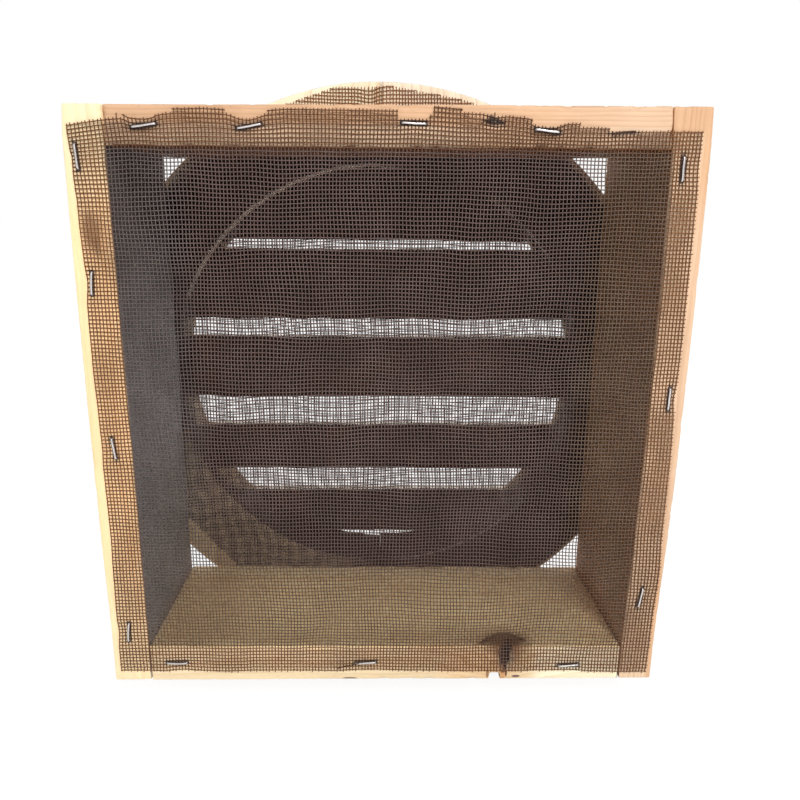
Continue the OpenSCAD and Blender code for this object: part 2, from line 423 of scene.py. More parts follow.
# ---------------------------------------------------------------- materials
def wood(name, early, late, grain, pith, pitch, contrast, mask, seed, blotch, knot=None,
         rough=0.62, streak=0.16, bump_strength=0.25, wobble=5.0):
    """Solid pine: rings round a pith line, fibre streaks, blotches and resin flecks.

    early and late are the ring colours, pitch the ring spacing, and pith the place of the
    line across the grain. knot is (along the grain, two places across it, radius).
    """
    material, tree, bsdf = new_material(name)
    x, y, z = split(position(tree))
    along, across, over = {"X": (x, y, z), "Z": (z, x, y)}[grain]
    shift = seed * 531.0              # a different stretch of log for every piece
    log = add_node("ShaderNodeCombineXYZ",
                   {0: along + shift, 1: across - pith[0], 2: over - pith[1]})

    # growth rings, wandering a little and pushed aside by the knot
    wander = noise_shift(log * (0.006, 0.022, 0.022), wobble * 2)
    section = log * (0.0, 1.0, 1.0) + wander * (0.0, 1.0, 1.0)
    radius = length_of(section)
    if knot:
        knot_r = knot[3]
        knot_at = (knot[0] + shift, knot[1] - pith[0], knot[2] - pith[1])
        reach = length_of((log - knot_at) * (0.42, 1.0, 0.35))
        radius = radius + 2.718 ** ((reach / knot_r) ** 2.0 * -1.0) * (knot_r * 1.25)
    count = radius / pitch + noise(section * (1.0, 0.09, 0.09), 2.0, 0.6) * 3.0
    profile = ramp(fract(count),
                   [(0.0, 0), (0.45, 0.16), (0.80, 0.75), (0.93, 1), (1.0, 0.05)], "EASE")
    band = noise(section * (0.0, 0.16, 0.16), 2.0, 0.5)
    ring = profile * fade(band, 0.3, 0.7, 0.35, 1.0)
    ring = math_node("MULTIPLY", ring, contrast, clamp=True)
    colour = mix(ring, early, late)

    # coarse and fine fibres
    coarse = noise(log * (0.035, 1.5, 1.5), 4.0, 0.65)
    fine = noise(log * (0.10, 4.5, 4.5), 2.0, 0.6)
    fibre = (coarse - 0.5) * (streak * 2.0) + (fine - 0.5) * (streak * 1.1)
    colour = tint(colour, ramp(fibre + 0.5, [(0.0, (0.55, 0.50, 0.45)), (0.5, 1),
                                             (1.0, (1.18, 1.2, 1.22))]))

    # blotches, then short dark flecks
    patches = noise(log * (0.012, 0.03, 0.03), 4.0, 0.6)
    colour = tint(colour, ramp(patches, [
        (0.25, (1 - blotch * 2.2, 1 - blotch * 2.6, 1 - blotch * 3.0)), (0.55, 1),
        (0.8, (1 + blotch * .5, 1 + blotch * .5, 1 + blotch * .4))]))
    fleck = fade(noise(log * (0.22, 1.9, 1.9), 1.0, 0.5), 0.74, 0.82)
    colour = mix(fleck * 0.45, colour, shade(late, 0.45))

    if knot:                          # a stained halo round dark rings
        offset = log - knot_at + noise_shift(scaled(log, 0.18), 7.0)
        reach = length_of(offset * (0.8, 1.0, 0.6))
        inside = fade(reach, knot_r * 1.0, knot_r * 0.35)
        halo = fade(reach, knot_r * 2.2, knot_r * 0.8)
        colour = mix(halo * 0.35, colour, shade(late, 0.72))
        knot_rings = mix(fract(reach / 1.3), (0.11, 0.050, 0.026), (0.055, 0.026, 0.016))
        colour = mix(inside, colour, knot_rings)

    colour, roughness = mask(colour, rough + ring * -0.10, (x, y, z))
    height = ring * 0.35 + coarse * 0.8 + fine * 0.35
    set_inputs(bsdf, {"Base Color": colour, "Roughness": roughness,
                      "Specular IOR Level": 0.35,
                      "Normal": bump(height, bump_strength, 0.0004)})
    return material


def cloth(name, dark, base, dust, tone, darkened=False):
    """Screen thread, toned by place; the front cloth also reads a point attribute that darkens
    it, which carries painted shadow along the staple crowns.
    """
    material, tree, bsdf = new_material(name)
    place = position(tree)
    patches = noise(place, 3.0, scale=0.05)
    grit = noise(place, 2.0, scale=1.4)
    colour = ramp(patches * 0.6 + grit * 0.4, [(0.30, dark), (0.52, base), (0.72, dust)])
    colour = tint(colour, tone(split(place)))
    if darkened:
        node = tree.nodes.new("ShaderNodeAttribute")
        node.attribute_name = "darkening"
        node.attribute_type = "GEOMETRY"
        # painted shadow along the crowns, read from the attribute
        colour = tint_where(Signal(tree, node.outputs["Fac"]), colour, (0.22, 0.17, 0.18))
    set_inputs(bsdf, {"Base Color": colour, "Roughness": fade(grit, 0.3, 0.7, 0.50, 0.70),
                      "Specular IOR Level": 0.30})
    return material


def metal(name, base, dark, rough, metallic=1.0, spots=0.35):
    material, tree, bsdf = new_material(name)
    place = position(tree)
    patches = noise(place, 4.0, 0.65, scale=0.6)
    grit = noise(place, 3.0, 0.6, scale=3.0)
    set_inputs(bsdf, {
        "Base Color": mix(fade(patches, 0.45, 0.75) * spots, base, dark),
        "Metallic": metallic,
        "Roughness": fade(grit, 0.3, 0.7, rough - 0.08, rough + 0.16),
        "Normal": bump(grit, 0.12, 0.0001)})
    return material


# ---------------------------------------------------------------- local colour of the wood, with painted light and shade
CHIP = (0.86, 0.78, 0.66)             # bare pale wood in small chips
WHITE = (1.0, 1.0, 1.0)


def at(dx, dy, z):
    """A point from the box axis and the front plane."""
    return AXIS_X + dx, FRONT + dy, z


def ellipsoid(xyz, centre, radii, softness):
    """1 inside an ellipsoid, fading to 0 at its skin."""
    a, b, c = [(xyz[i] - float(centre[i])) / float(radii[i]) for i in range(3)]
    return fade(a * a + b * b + c * c, 1.0, 1.0 - softness)


def spots(colour, xyz, table):
    """Paint ellipsoids; rows are centre, radii, softness, strength or None, colour."""
    for centre, radii, softness, strength, paint in table:
        mask = ellipsoid(xyz, centre, radii, softness)
        colour = mix(mask if strength is None else mask * strength, colour, paint)
    return colour


def painted_crown_shadow(colour, xyz, items):
    """Painted shadow on the wood close along each staple crown."""
    x, y, z = xyz
    front = fade(y, FRONT + 1.0, FRONT + 0.4)
    for staple_x, staple_z, turn in items:
        cos, sin = math.cos(math.radians(turn)), math.sin(math.radians(turn))
        dx, dz = x - (AXIS_X + staple_x), z - staple_z
        along = abs(dx * cos + dz * sin)
        across = dz * cos + dx * -sin
        over = maximum(along - 5.0, 0.0)      # 5 mm is the half length of the mark
        distance = root(over * over + across * across)
        # painted shadow beside the crown
        colour = mix(fade(distance, 1.45, 0.85) * front * 0.85, colour, (0.085, 0.048, 0.042))
    return colour


def left_mask(colour, rough, xyz):
    """Front edge tanned between its pale ends; inner face grey and dull, combed along z, with
    painted shade near the top under the top board.
    """
    x, y, z = xyz
    inner_x = float(LEFT_HI[0])
    place = position(x.tree)
    patches = noise(place, 4.0, scale=0.05)
    comb = noise(place * (1.0, 1.3, 0.02), 3.0, 0.6)
    middle = fade(z, 128.0, 80.0) * fade(z, -134.0, -60.0, 0.35, 1.0)
    colour = tint_where(middle * 0.9, colour, (1.16, 0.95, 0.82))
    colour = spots(colour, xyz, [
        (at(-129.5, 0, 86), (5.0, 14, 10.0), 0.9, 0.62, (0.30, 0.145, 0.085)),
        (at(-127.5, 0, 79), (2.0, 14, 6.5), 0.9, 0.5, (0.20, 0.10, 0.06))])
    inner = fade(x, inner_x - 1.1, inner_x - 0.35) * fade(y, FRONT + 0.35, FRONT + 0.9)
    inner = inner * fade(z, 124.0, 122.0)
    # the grey face darkens to the top as painted shade under the top board
    tone = ramp(fade(z, -130.0, 125.0), [
        (0.0, (0.290, 0.288, 0.300)), (0.45, (0.385, 0.410, 0.450)),
        (0.72, (0.310, 0.330, 0.362)), (0.95, (0.125, 0.118, 0.124))])
    grey = tint(mix(0.95, colour, tone), ramp(patches, [(0.3, (0.80, 0.80, 0.81)), (0.7, 1.15)]))
    grey = tint(grey, ramp(comb, [(0.32, (0.72, 0.72, 0.74)), (0.62, 1.10)]))
    chips = (                         # z, depth behind the front, radii
        (102.2, 34.1, (2.0, 0.8, 1.3)), (75.6, 18.2, (2.0, 0.5, 1.1)),
        (66.0, 29.2, (2.0, 0.9, 0.6)), (69.0, 27.0, (2.0, 0.5, 0.9)))
    grey = spots(grey, xyz, [((inner_x, FRONT + depth, height), radii, 0.6, None, CHIP)
                             for height, depth, radii in chips])
    # painted shadow along the staple crowns
    return painted_crown_shadow(mix(inner, colour, grey), xyz, STAPLES["left"]), rough + inner * 0.15


def right_mask(colour, rough, xyz):
    """Front edge paler under the cloth and at mid height; inner face olive brown, darkened
    further as painted shade.
    """
    x, y, z = xyz
    inner_x = float(RIGHT_LO[0])
    front = fade(y, FRONT + 1.2, FRONT + 0.6)
    inner = fade(x, inner_x + 5.4, inner_x + 4.0) * (1.0 - front)
    under = fade(x, AXIS_X + 136.6, AXIS_X + 134.6) * fade(z, 130.5, 127.5)
    middle = fade(z, -95.0, -50.0) * fade(z, 115.0, 80.0)
    open_tone = mix(middle, (0.90, 0.90, 0.90), (0.96, 1.05, 1.18))
    colour = tint_where(front, colour, mix(under, open_tone, (1.06, 1.26, 1.45)))
    olive = fade(noise(position(x.tree) * (1.0, 0.035, 0.012)), 0.40, 0.62)
    # olive brown, darkened as painted shade on the inner face
    colour = tint_where(inner, colour, mix(olive, (0.66, 0.50, 0.36), (0.58, 0.53, 0.39)))
    joint = fade(x, inner_x + 1.45, inner_x + 1.15) * (
        fade(z, -121.0, -122.0) * fade(y, FRONT + 2.6, FRONT + 1.8))
    colour = mix(joint * 0.8, colour, (0.12, 0.06, 0.04))
    # painted shadow along the staple crowns
    colour = painted_crown_shadow(colour, xyz, STAPLES["right"])
    chip = ((inner_x + 2.0, FRONT + 9.9, 89.4), (2.6, 0.6, 1.0), 0.6, None, CHIP)
    return spots(colour, xyz, [chip]), rough


def top_mask(colour, rough, xyz):
    """Painted shade on the lower face and round the sunk staple, stained upper edge, pale where
    covered and to the right.
    """
    x, y, z = xyz
    low_z, high_z = float(TOP_LO[2]), float(TOP_HI[2])
    front = fade(y, FRONT + 1.2, FRONT + 0.6)
    # painted shade on the underside, which faces down into the box
    lower = fade(z, low_z + 2.6, low_z + 1.6) * (1.0 - front)
    colour = tint_where(lower, colour, (0.46, 0.31, 0.22))
    edge = fade(z, high_z - 2.6, high_z - 0.6)
    streaks = noise(position(x.tree) * (0.04, 0.4, 0.9))
    colour = mix(edge * fade(streaks, 0.45, 0.7, 0.0, 0.55), colour, (0.40, 0.22, 0.12))
    pale = fade(x, AXIS_X + 55, AXIS_X + 115)
    colour = tint_where(pale * 0.8, colour, (1.13, 1.28, 1.45))
    under = fade(z, 131.8, 130.0) * front
    under = under * fade(x, AXIS_X + 60, AXIS_X + 20, 0.25, 1.0)
    colour = tint_where(under, colour, (1.10, 1.30, 1.50))
    colour = tint_where(front, colour, scaled(WHITE, fade(z, 123.5, 128.0, 0.82, 1.0)))
    painted_shade = (0.060, 0.032, 0.024)      # painted shade round the sunk staple
    colour = spots(colour, xyz, [(at(44.9, 0, 132.6), (4.4, 4, 1.9), 0.7, 0.9, painted_shade),
                                 (at(43.6, 0, 133.6), (1.8, 4, 2.4), 0.7, 0.8, painted_shade)])
    # painted shadow along the staple crowns
    return painted_crown_shadow(colour, xyz, STAPLES["top"]), rough


def bottom_mask(colour, rough, xyz):
    """Upper face brightened as painted light from above, and a dark broken knot at the front
    edge, with painted shade in its hollow and stains about it.
    """
    x, y, z = xyz
    deep = fade(z, SILL + 0.9, SILL - 0.1) * fade(y, FRONT + 0.30, FRONT + 0.9)
    near = ellipsoid(xyz, at(62.0, 4.0, SILL - 4), (15.5, 13, 15), 0.25)
    dark = mix(noise(position(x.tree), scale=0.9), (0.170, 0.105, 0.070), (0.050, 0.030, 0.020))
    # painted light: the upper face is brightened
    upper = fade(z, SILL - 0.6, SILL + 0.2)
    colour = tint_where(upper * 0.85, colour, (1.50, 1.50, 1.42))
    colour = spots(colour, xyz, [
        (at(62.5, 5.5, SILL), (16.5, 12.5, 7), 0.8, 0.55, (0.20, 0.115, 0.070))])
    # dark knot wood, with painted shade in the broken hollow
    colour = mix(deep * near, colour, dark)
    foot = BOX_FOOT
    colour = spots(colour, xyz, [
        (at(60.7, 0, foot + 2.4), (1.9, 6, 4.6), 0.6, 0.85, (0.60, 0.33, 0.15)),
        (at(62.5, 0, foot + 2.6), (0.5, 5, 2.4), 0.5, None, (0.07, 0.03, 0.02)),
        (at(67.6, 0, foot + 0.8), (2.5, 6, 0.9), 0.6, 0.9, (0.12, 0.055, 0.075)),
        (at(52.8, 0, foot + 2.6), (0.9, 9, 3.4), 0.6, 0.8, (0.24, 0.11, 0.05)),
        (at(-18.5, 0, foot - 0.2), (4.6, 3, 0.9), 0.7, 0.75, (0.16, 0.09, 0.05))])
    # the front face is blushed to both sides of the knot
    blush = ellipsoid(xyz, at(48.0, 0, foot + 4), (26, 6, 15), 0.9)
    front = fade(y, FRONT + 0.8, FRONT + 0.2)
    colour = tint_where(blush * front * 0.45, colour, (0.92, 0.70, 0.55))
    colour = tint_where(front * fade(x, AXIS_X + 74.0, AXIS_X + 80.0), colour,
                        (1.04, 1.16, 1.30))
    # painted shade: the upper face darkens to the back and to the left
    back = fade(y, FRONT + 30.0, FRONT + 80.0, 1.0, 0.88)
    side = fade(x, AXIS_X - 50.0, AXIS_X - 108.0, 1.0, 0.72)
    colour = tint_where(upper, colour, scaled(WHITE, back * side))
    end_x = float(BOTTOM_HI[0])
    joint = fade(x, end_x - 0.10, end_x + 0.25) * fade(y, FRONT + 2.6, FRONT + 1.8)
    colour = mix(joint * 0.85, colour, (0.10, 0.05, 0.035))
    # painted shadow along the staple crowns
    return painted_crown_shadow(colour, xyz, STAPLES["bottom"]), rough


# Gaps between the slats: lowest and highest z as seen from a point EYE_BACK in front of
# y = 0 and EYE_Z up, projected on the plane y = -GAP_PLANE.
GAPS = [(70.6, 76.0), (16.6, 27.7), (-41.0, -22.8), (-86.0, -71.6)]
EYE_BACK, EYE_Z, GAP_PLANE = 471.8, 101.0, 8.0


def within_box(x, z, inner_z):
    """1 on the part of the ring that the box stands over."""
    return fade(abs(x - AXIS_X), 136.0, 124.0) * fade(abs(z), 137.0, inner_z)


def from_hole_centre(x, z):
    dz = z - HOLE_Z
    return root(x * x + dz * dz)


def ring_mask(painted_shade_tint, hole, lit_lower_left, deep):
    """Painted shade round the hole inside the box, and painted light on the rim outside it.

    The hole's wall gets painted shade except where light comes through a gap between the
    slats, over the y range deep; the third argument thins the painted shade towards the
    lower left, where the direct light falls.
    """
    def mask(colour, rough, xyz):
        x, y, z = xyz
        face = fade(y, RING_FRONT + 0.9, RING_FRONT + 0.2)
        room = within_box(x, z, 125.0)
        radius = from_hole_centre(x, z)
        # painted shade inside the box, thinned at the lower left where the direct light falls
        painted_shade = face * room
        if lit_lower_left > 0:
            lower_left = x * -0.62 + z * -0.78
            painted_shade = painted_shade * (1.0 - fade(lower_left, 92.0, 120.0, 0.0, lit_lower_left))
        painted_shade = painted_shade * (1.0 - fade(radius, 156.8, 158.2, 0.0, 0.45))
        # less painted shade at the upper left near the rim
        bare = fade(x, -84.0, -94.0) * fade(z, 84.0, 94.0) * fade(radius, 154.0, 156.5)
        painted_shade = painted_shade * (1.0 - bare * 0.55)

        # painted highlight on the arris of the hole: upper left, faintly lower right, and upper
        # right
        upper = fade(x, 25.0, -20.0) * fade(z, 30.0, 70.0)
        lower = fade(x, 5.0, 30.0) * fade(z, -70.0, -85.0) * 0.22
        width = hole + 0.9 + upper * 0.9
        arris = fade(radius - width, 0.45, 0.0) * fade(y, RING_FRONT + 2.2, RING_FRONT + 1.2)
        upper_right = fade(x, 55.0, 72.0) * fade(z, 62.0, 74.0) * 0.70
        arris = arris * maximum(upper, maximum(lower, upper_right))

        seen = (z - EYE_Z) * ((EYE_BACK - GAP_PLANE) / (y + EYE_BACK)) + EYE_Z
        rows = None
        for low, high in GAPS:
            row = fade(seen, low - 0.9, low + 0.3) * fade(seen, high + 0.9, high - 0.3)
            rows = row if rows is None else maximum(rows, row)
        rows = rows * fade(y, *deep)
        # painted shade on the hole's wall, left out in the rows where light comes through the
        # gaps
        wall = fade(radius, hole + 1.2, hole + 0.7) * (1.0 - fade(rows, 0.0, 1.0, 0.0, 0.92))
        wall = wall * (1.0 - face)

        # painted light: the face outside the box is brightened
        colour = tint_where((1.0 - room) * face, colour, (1.18, 1.38, 1.64))
        # painted shade, in lighter and darker patches
        patches = fade(noise(position(x.tree), scale=0.035), 0.50, 0.66)
        lighter_painted_shade = tuple(a * b for a, b in zip(painted_shade_tint, (2.0, 2.7, 1.7)))
        colour = tint_where(painted_shade, colour, mix(patches, painted_shade_tint, lighter_painted_shade))
        colour = tint_where(wall, colour, (0.085, 0.035, 0.035))
        # painted highlight on the arris
        return mix(arris * room, colour, (0.98, 0.90, 0.77)), rough
    return mask


def slat_mask(strength, front, top):
    """Painted shade on the front face and a painted highlight on the top arris."""
    def mask(colour, rough, xyz):
        x, y, z = xyz
        face = fade(y, front + 1.0, front + 0.3)
        patches = fade(noise(position(x.tree) * (0.7, 1.0, 1.2), scale=0.032), 0.48, 0.64)
        # painted shade on the front face
        painted_shade = mix(patches, shade((0.052, 0.014, 0.010), strength),
                   shade((0.125, 0.040, 0.016), strength))
        colour = tint_where(face * 0.96, colour, painted_shade)
        # painted highlight on the top arris, where the back light falls
        return mix(fade(z, top - 0.7, top - 0.2) * 0.75, colour, (0.95, 0.92, 0.86)), rough
    return mask


# ---------------------------------------------------------------- tone of the cloth, with painted light and shade
def front_tone(xyz):
    """Dusty where the cloth hangs free; where it lies against wood, tinted brown and brightened
    as painted light bounced from the wood.
    """
    x, y, z = xyz
    out = abs(x - AXIS_X)
    bow = fade(z, -125.0, -60.0, 1.0, 2.9) * fade(z, 125.0, 95.0, 0.7, 1.0)
    out = out - fade(x, AXIS_X, AXIS_X + 20.0) * bow
    room = fade(out, 121.5, 118.5) * fade(z, 122.5, 119.5) * fade(z, -121.5, -118.5)
    low = fade(z, -70.0, -84.0) * fade(out + z * 0.52, 62.0, 52.0)
    across = x - AXIS_X
    hang = mix(fade(across, -80.0, -96.0), (1.06, 1.04, 1.09), (0.97, 1.12, 1.24))
    hang = mix(fade(across, 82.0, 94.0), hang, (1.13, 1.12, 0.98))
    hang = spots(hang, xyz, [
        (at(-70.0, 0, -64.0), (44.0, 40.0, 27.0), 0.9, 0.34, (0.30, 0.26, 0.22))])
    hang = mix(low, hang, (0.98, 0.72, 0.46))
    # painted light bounced from the wood: the threads over the boards are tinted brown and
    # brightened
    inner = mix(fade(z, -60.0, 60.0), (1.42, 0.78, 0.32), (1.12, 0.66, 0.28))
    outer = mix(fade(z, -90.0, -30.0), (1.22, 0.74, 0.33), (1.55, 0.93, 0.38))
    wood_bounce = mix(fade(out, 118.0, 123.0), inner, outer)
    return spots(mix(room, wood_bounce, hang), xyz, [       # over the knot
        (at(62.0, 0, -127.0), (5.2, 60.0, 11.5), 0.8, None, (1.02, 0.92, 0.88))])


def base_tone(xyz):
    """Painted shade inside the box and painted light on the open rim; a painted highlight on the
    hole's upper left edge.
    """
    x, _, z = xyz
    room = within_box(x, z, 124.0)
    radius = from_hole_centre(x, z)
    lit = (fade(radius, HOLE_LEFT - 0.7, HOLE_LEFT - 0.1)
           * fade(radius, HOLE_LEFT + 1.7, HOLE_LEFT + 1.0))
    lit = lit * (fade(x, 25.0, -20.0) * fade(z, 40.0, 75.0))
    # painted highlight on the edge, painted shade inside the box, painted light outside it
    return mix(lit, mix(room, (2.60, 1.90, 1.25), (0.11, 0.09, 0.12)), (9.2, 13.8, 19.5))


PINE = {
    "left": wood("pine_left", (0.98, 0.82, 0.54), (0.82, 0.61, 0.36), "Z", pith=(-90, -190),
                 pitch=3.1, contrast=0.55, mask=left_mask, seed=0.11, blotch=0.05,
                 streak=0.10),
    "right": wood("pine_right", (0.74, 0.46, 0.275), (0.53, 0.285, 0.145), "Z",
                  pith=(235, -150), pitch=2.7, contrast=0.6, mask=right_mask, seed=0.37,
                  blotch=0.07, streak=0.12),
    "top": wood("pine_top", (0.67, 0.42, 0.255), (0.49, 0.265, 0.14), "X", pith=(-160, 235),
                pitch=2.2, contrast=0.55, mask=top_mask, seed=0.59, blotch=0.07),
    "bottom": wood("pine_bottom", (0.93, 0.76, 0.50), (0.70, 0.49, 0.27), "X",
                   pith=(-80, -196), pitch=4.2, contrast=0.7, mask=bottom_mask, seed=0.83,
                   blotch=0.06, wobble=7.0, knot=(*at(62, 5, SILL - 1), 9.5)),
}
BASE_LEFT = wood(
    "base_left", (0.84, 0.66, 0.42), (0.60, 0.40, 0.22), "Z", pith=(-60, 40), pitch=3.4,
    contrast=0.7, seed=1.21, blotch=0.10,
    mask=ring_mask((0.060, 0.020, 0.018), HOLE_LEFT, lit_lower_left=0.60, deep=(-44.0, -20.0)))
BASE_RIGHT = wood(
    "base_right", (0.80, 0.60, 0.40), (0.56, 0.36, 0.21), "Z", pith=(90, 30), pitch=3.0,
    contrast=0.7, seed=1.73, blotch=0.12,
    mask=ring_mask((0.048, 0.014, 0.014), HOLE_RIGHT, lit_lower_left=0.0, deep=(-30.0, -12.0)))
FRONT_CLOTH = cloth("mesh_front", dark=(0.080, 0.053, 0.045), base=(0.112, 0.075, 0.064),
                    dust=(0.155, 0.110, 0.096), tone=front_tone, darkened=True)
BASE_CLOTH = cloth("mesh_base", dark=(0.068, 0.037, 0.021), base=(0.095, 0.052, 0.030),
                   dust=(0.14, 0.085, 0.052), tone=base_tone)
BRIGHT_STEEL = metal("staple_bright", (0.66, 0.63, 0.63), (0.36, 0.33, 0.33), rough=0.30,
                     metallic=0.55)
DARK_STEEL = metal("staple_dark", (0.10, 0.09, 0.09), (0.05, 0.045, 0.04), rough=0.5,
                   metallic=0.8)
RUST = metal("staple_rust", (0.055, 0.020, 0.010), (0.028, 0.011, 0.007), rough=0.72,
             metallic=0.25, spots=0.7)
NAIL_STEEL = metal("nail_steel", (0.46, 0.46, 0.47), (0.22, 0.20, 0.19), rough=0.42)
ZINC = metal("screw_zinc", (0.74, 0.66, 0.42), (0.42, 0.36, 0.22), rough=0.30)

# ---------------------------------------------------------------- boards
HALF_IN, HALF_OUT = 120.5, 138.0      # faces of the side boards, from the box axis
LEFT_BOW = np.array([                 # z, shift of the outer face to the left
    (-139, 1.2), (-110, 1.2), (-60, 1.5), (-10, 1.4), (40, 1.3), (90, 1.0), (110, 0.7),
    (125, 0.5), (139, -0.8)]).T
RIGHT_BOW = np.array([                # z, shift of the outer face, of the inner front edge
    (-140, 0.3, 1.0), (-121, 0.4, 0.8), (-106, 0.6, 1.2), (-61, 1.7, 2.4), (-19, 2.1, 3.2),
    (57, 2.1, 3.0), (105, 1.7, 2.3), (122, 1.5, 1.9), (140, 0.7, 0.9)]).T


def warp(side, verts):
    """The boards aren't true: each is a little bowed, tilted or stretched."""
    verts = verts.copy()
    x = verts[:, 0] - AXIS_X
    z = verts[:, 2]                   # a view, so it follows changes to verts
    back = np.clip((verts[:, 1] - FRONT) / (BACK - FRONT), 0, 1)
    right = np.clip((x + HALF_IN) / (2 * HALF_IN), 0, 1)
    thick = HALF_OUT - HALF_IN
    if side == "left":
        verts[:, 2] -= 1.2 * np.clip(z / BOX_TOP, 0, 1) + 1.0 * smooth(-60, -139, z)
        verts[:, 0] -= np.clip((-HALF_IN - x) / thick, 0, 1) * np.interp(z, *LEFT_BOW)
    if side == "right":
        inward = np.clip((HALF_OUT - x) / thick, 0, 1)
        outer = np.interp(z, RIGHT_BOW[0], RIGHT_BOW[1])
        inner = np.interp(z, RIGHT_BOW[0], RIGHT_BOW[2])
        verts[:, 0] += lerp(outer * (1 - 0.7 * back), lerp(inner, -1.2, back), inward)
        verts[:, 2] += 0.4 * np.clip(z / BOX_TOP, 0, 1) - 0.9 * smooth(-60, -139, z)
    if side == "top":
        up = np.clip((z - TOP_LO[2]) / BOARD, 0, 1)
        lower = lerp(-0.8 + 1.1 * right, -1.3 + 2.0 * right, back)
        verts[:, 2] += lerp(lower, -1.2 + 1.6 * right, up)
        verts[:, 0] += right * lerp(lerp(1.9, -1.2, back), lerp(0.9, -1.2, back), up)
    if side == "bottom":
        up = np.clip((z - BOTTOM_LO[2]) / BOARD, 0, 1)
        upper = lerp(1.6 - 0.6 * right, 0.3 - 0.8 * right, back)
        verts[:, 2] += up * upper - (1 - up) * 1.1
        verts[:, 0] += right * lerp(0.9, -1.2, back)
    return verts


def board(side, end_gap, steps, stretch, seed, chips):
    """One board, its surface uneven along the grain and its arrises chipped."""
    lo, hi = BOARDS[side]
    lo, hi = lo + [end_gap, 0, 0], hi - [end_gap, 0, 0]
    verts, quads = rounded_box(lo, hi, 0.8, steps)
    normals = vertex_normals(verts, quads)
    broad = Waves(seed, 3, 120)(*verts.T)
    medium = Waves(seed + 1, 3, 16, stretch=stretch)(*verts.T)
    fine = Waves(seed + 2, 3, 4.5, stretch=stretch)(*verts.T)
    chip = np.clip(Waves(seed + 5, 3, 7, count=22, spread=3)(*verts.T) - 0.35, 0, None)
    push = 0.10 * broad + 0.05 * medium + 0.03 * fine - 0.12
    push -= arris_nearness(verts, lo, hi) * (0.10 + chips * chip)
    verts = warp(side, verts + normals * push[:, None])
    ob = make_object(f"{side}_board_wood", verts, quads)
    return give(ob, PINE[side], f"{side}_board")


ALONG_X, ALONG_Z = (9, 1, 1), (1, 1, 9)
board("left", 0, (2.2, 3.2, 1.6), ALONG_Z, seed=11, chips=0.5)
board("right", 0, (2.2, 3.2, 1.6), ALONG_Z, seed=21, chips=0.5)
board("top", 0.05, (1.4, 3.2, 2.0), ALONG_X, seed=31, chips=1.1)
bottom_board = board("bottom", 0.05, (1.6, 3.2, 2.0), ALONG_X, seed=41, chips=0.5)

# ---------------------------------------------------------------- broken knot, bottom board
KNOT_Z = SILL + 1.3                   # level of the warped upper face at the knot
# centre, radii, seed, roughness, turn in degrees, turn axis, power (below 1 is boxier)
KNOT_CUTS = [
    (at(53.6, 7.6, KNOT_Z), (6.9, 1.7, 3.2), 3, 0.16, 44, "Z", 1.0),
    (at(67.2, 9.2, KNOT_Z), (7.8, 2.3, 3.4), 4, 0.16, -34, "Z", 1.0),
    (at(60.6, 10.4, KNOT_Z), (3.9, 3.0, 4.2), 8, 0.14, 0, "Y", 1.0),
    (at(61.5, 3.2, KNOT_Z - 3.2), (3.2, 8.5, 9.6), 5, 0.10, 7, "Y", 1.0),
    (at(60.8, 0.2, KNOT_Z - 10.0), (1.9, 3.2, 6.4), 9, 0.12, 0, "Y", 1.0),
    (at(56.5, 1.0, BOX_FOOT + 0.2), (2.9, 9.0, 2.9), 6, 0.05, 0, "Y", 0.45),
]


def lump(centre, radii, seed, amount, turn, axis, power):
    """A rough ellipsoid to cut with."""
    bm = bmesh.new()
    bmesh.ops.create_icosphere(bm, subdivisions=4, radius=1.0)
    points = np.array([v.co[:] for v in bm.verts])
    swell = 1 + amount * Waves(seed, 3, 1.1, count=18, spread=2.2)(*points.T)
    points = (np.sign(points) * np.abs(points) ** power) * swell[:, None] * np.array(radii)
    points = points @ np.array(Matrix.Rotation(math.radians(turn), 3, axis)).T
    for vert, point in zip(bm.verts, (points + np.array(centre)) * MM):
        vert.co = point
    mesh = bpy.data.meshes.new("cut")
    bm.to_mesh(mesh)
    bm.free()
    return link("cut", mesh)


def cut(ob, cutters):
    """Subtract the cutters for good, keeping the object's material on every face."""
    bpy.context.view_layer.update()
    for cutter in cutters:
        modifier = ob.modifiers.new("cut", "BOOLEAN")
        modifier.object = cutter
        modifier.operation = "DIFFERENCE"
        modifier.solver = "EXACT"
    depsgraph = bpy.context.evaluated_depsgraph_get()
    mesh = bpy.data.meshes.new_from_object(ob.evaluated_get(depsgraph), depsgraph=depsgraph)
    ob.modifiers.clear()
    materials = list(ob.data.materials)
    ob.data = mesh
    mesh.materials.clear()
    for material in materials:
        mesh.materials.append(material)
    mesh.polygons.foreach_set("material_index", np.zeros(len(mesh.polygons), np.int32))
    shade_smooth(mesh)
    for cutter in cutters:
        bpy.data.objects.remove(cutter)


cut(bottom_board, [lump(*row) for row in KNOT_CUTS])


# ---------------------------------------------------------------- round base
def ring_profile(inner, edge=1.0):
    """Closed section (radius, y) with eased corners, from the front of the hole's wall."""
    outer, front, back, ease = RING_R, RING_FRONT, RING_BACK, 0.3 * edge

    def between(start, end, count):
        return np.linspace(start, end, count + 1)[1:-1]

    points = [(inner, front + edge)]
    points += [(inner, y) for y in between(front + edge, back - edge, 12)]
    points += [(inner, back - edge), (inner + ease, back - ease), (inner + edge, back)]
    points += [(r, back) for r in between(inner + edge, outer - edge, 10)]
    points += [(outer - edge, back), (outer - ease, back - ease), (outer, back - edge)]
    points += [(outer, y) for y in between(back - edge, front + edge, 10)]
    points += [(outer, front + edge), (outer - ease, front + ease), (outer - edge, front)]
    points += [(r, front) for r in between(outer - edge, inner + edge, 10)]
    points += [(inner + edge, front), (inner + ease, front + ease)]
    return np.array(points)


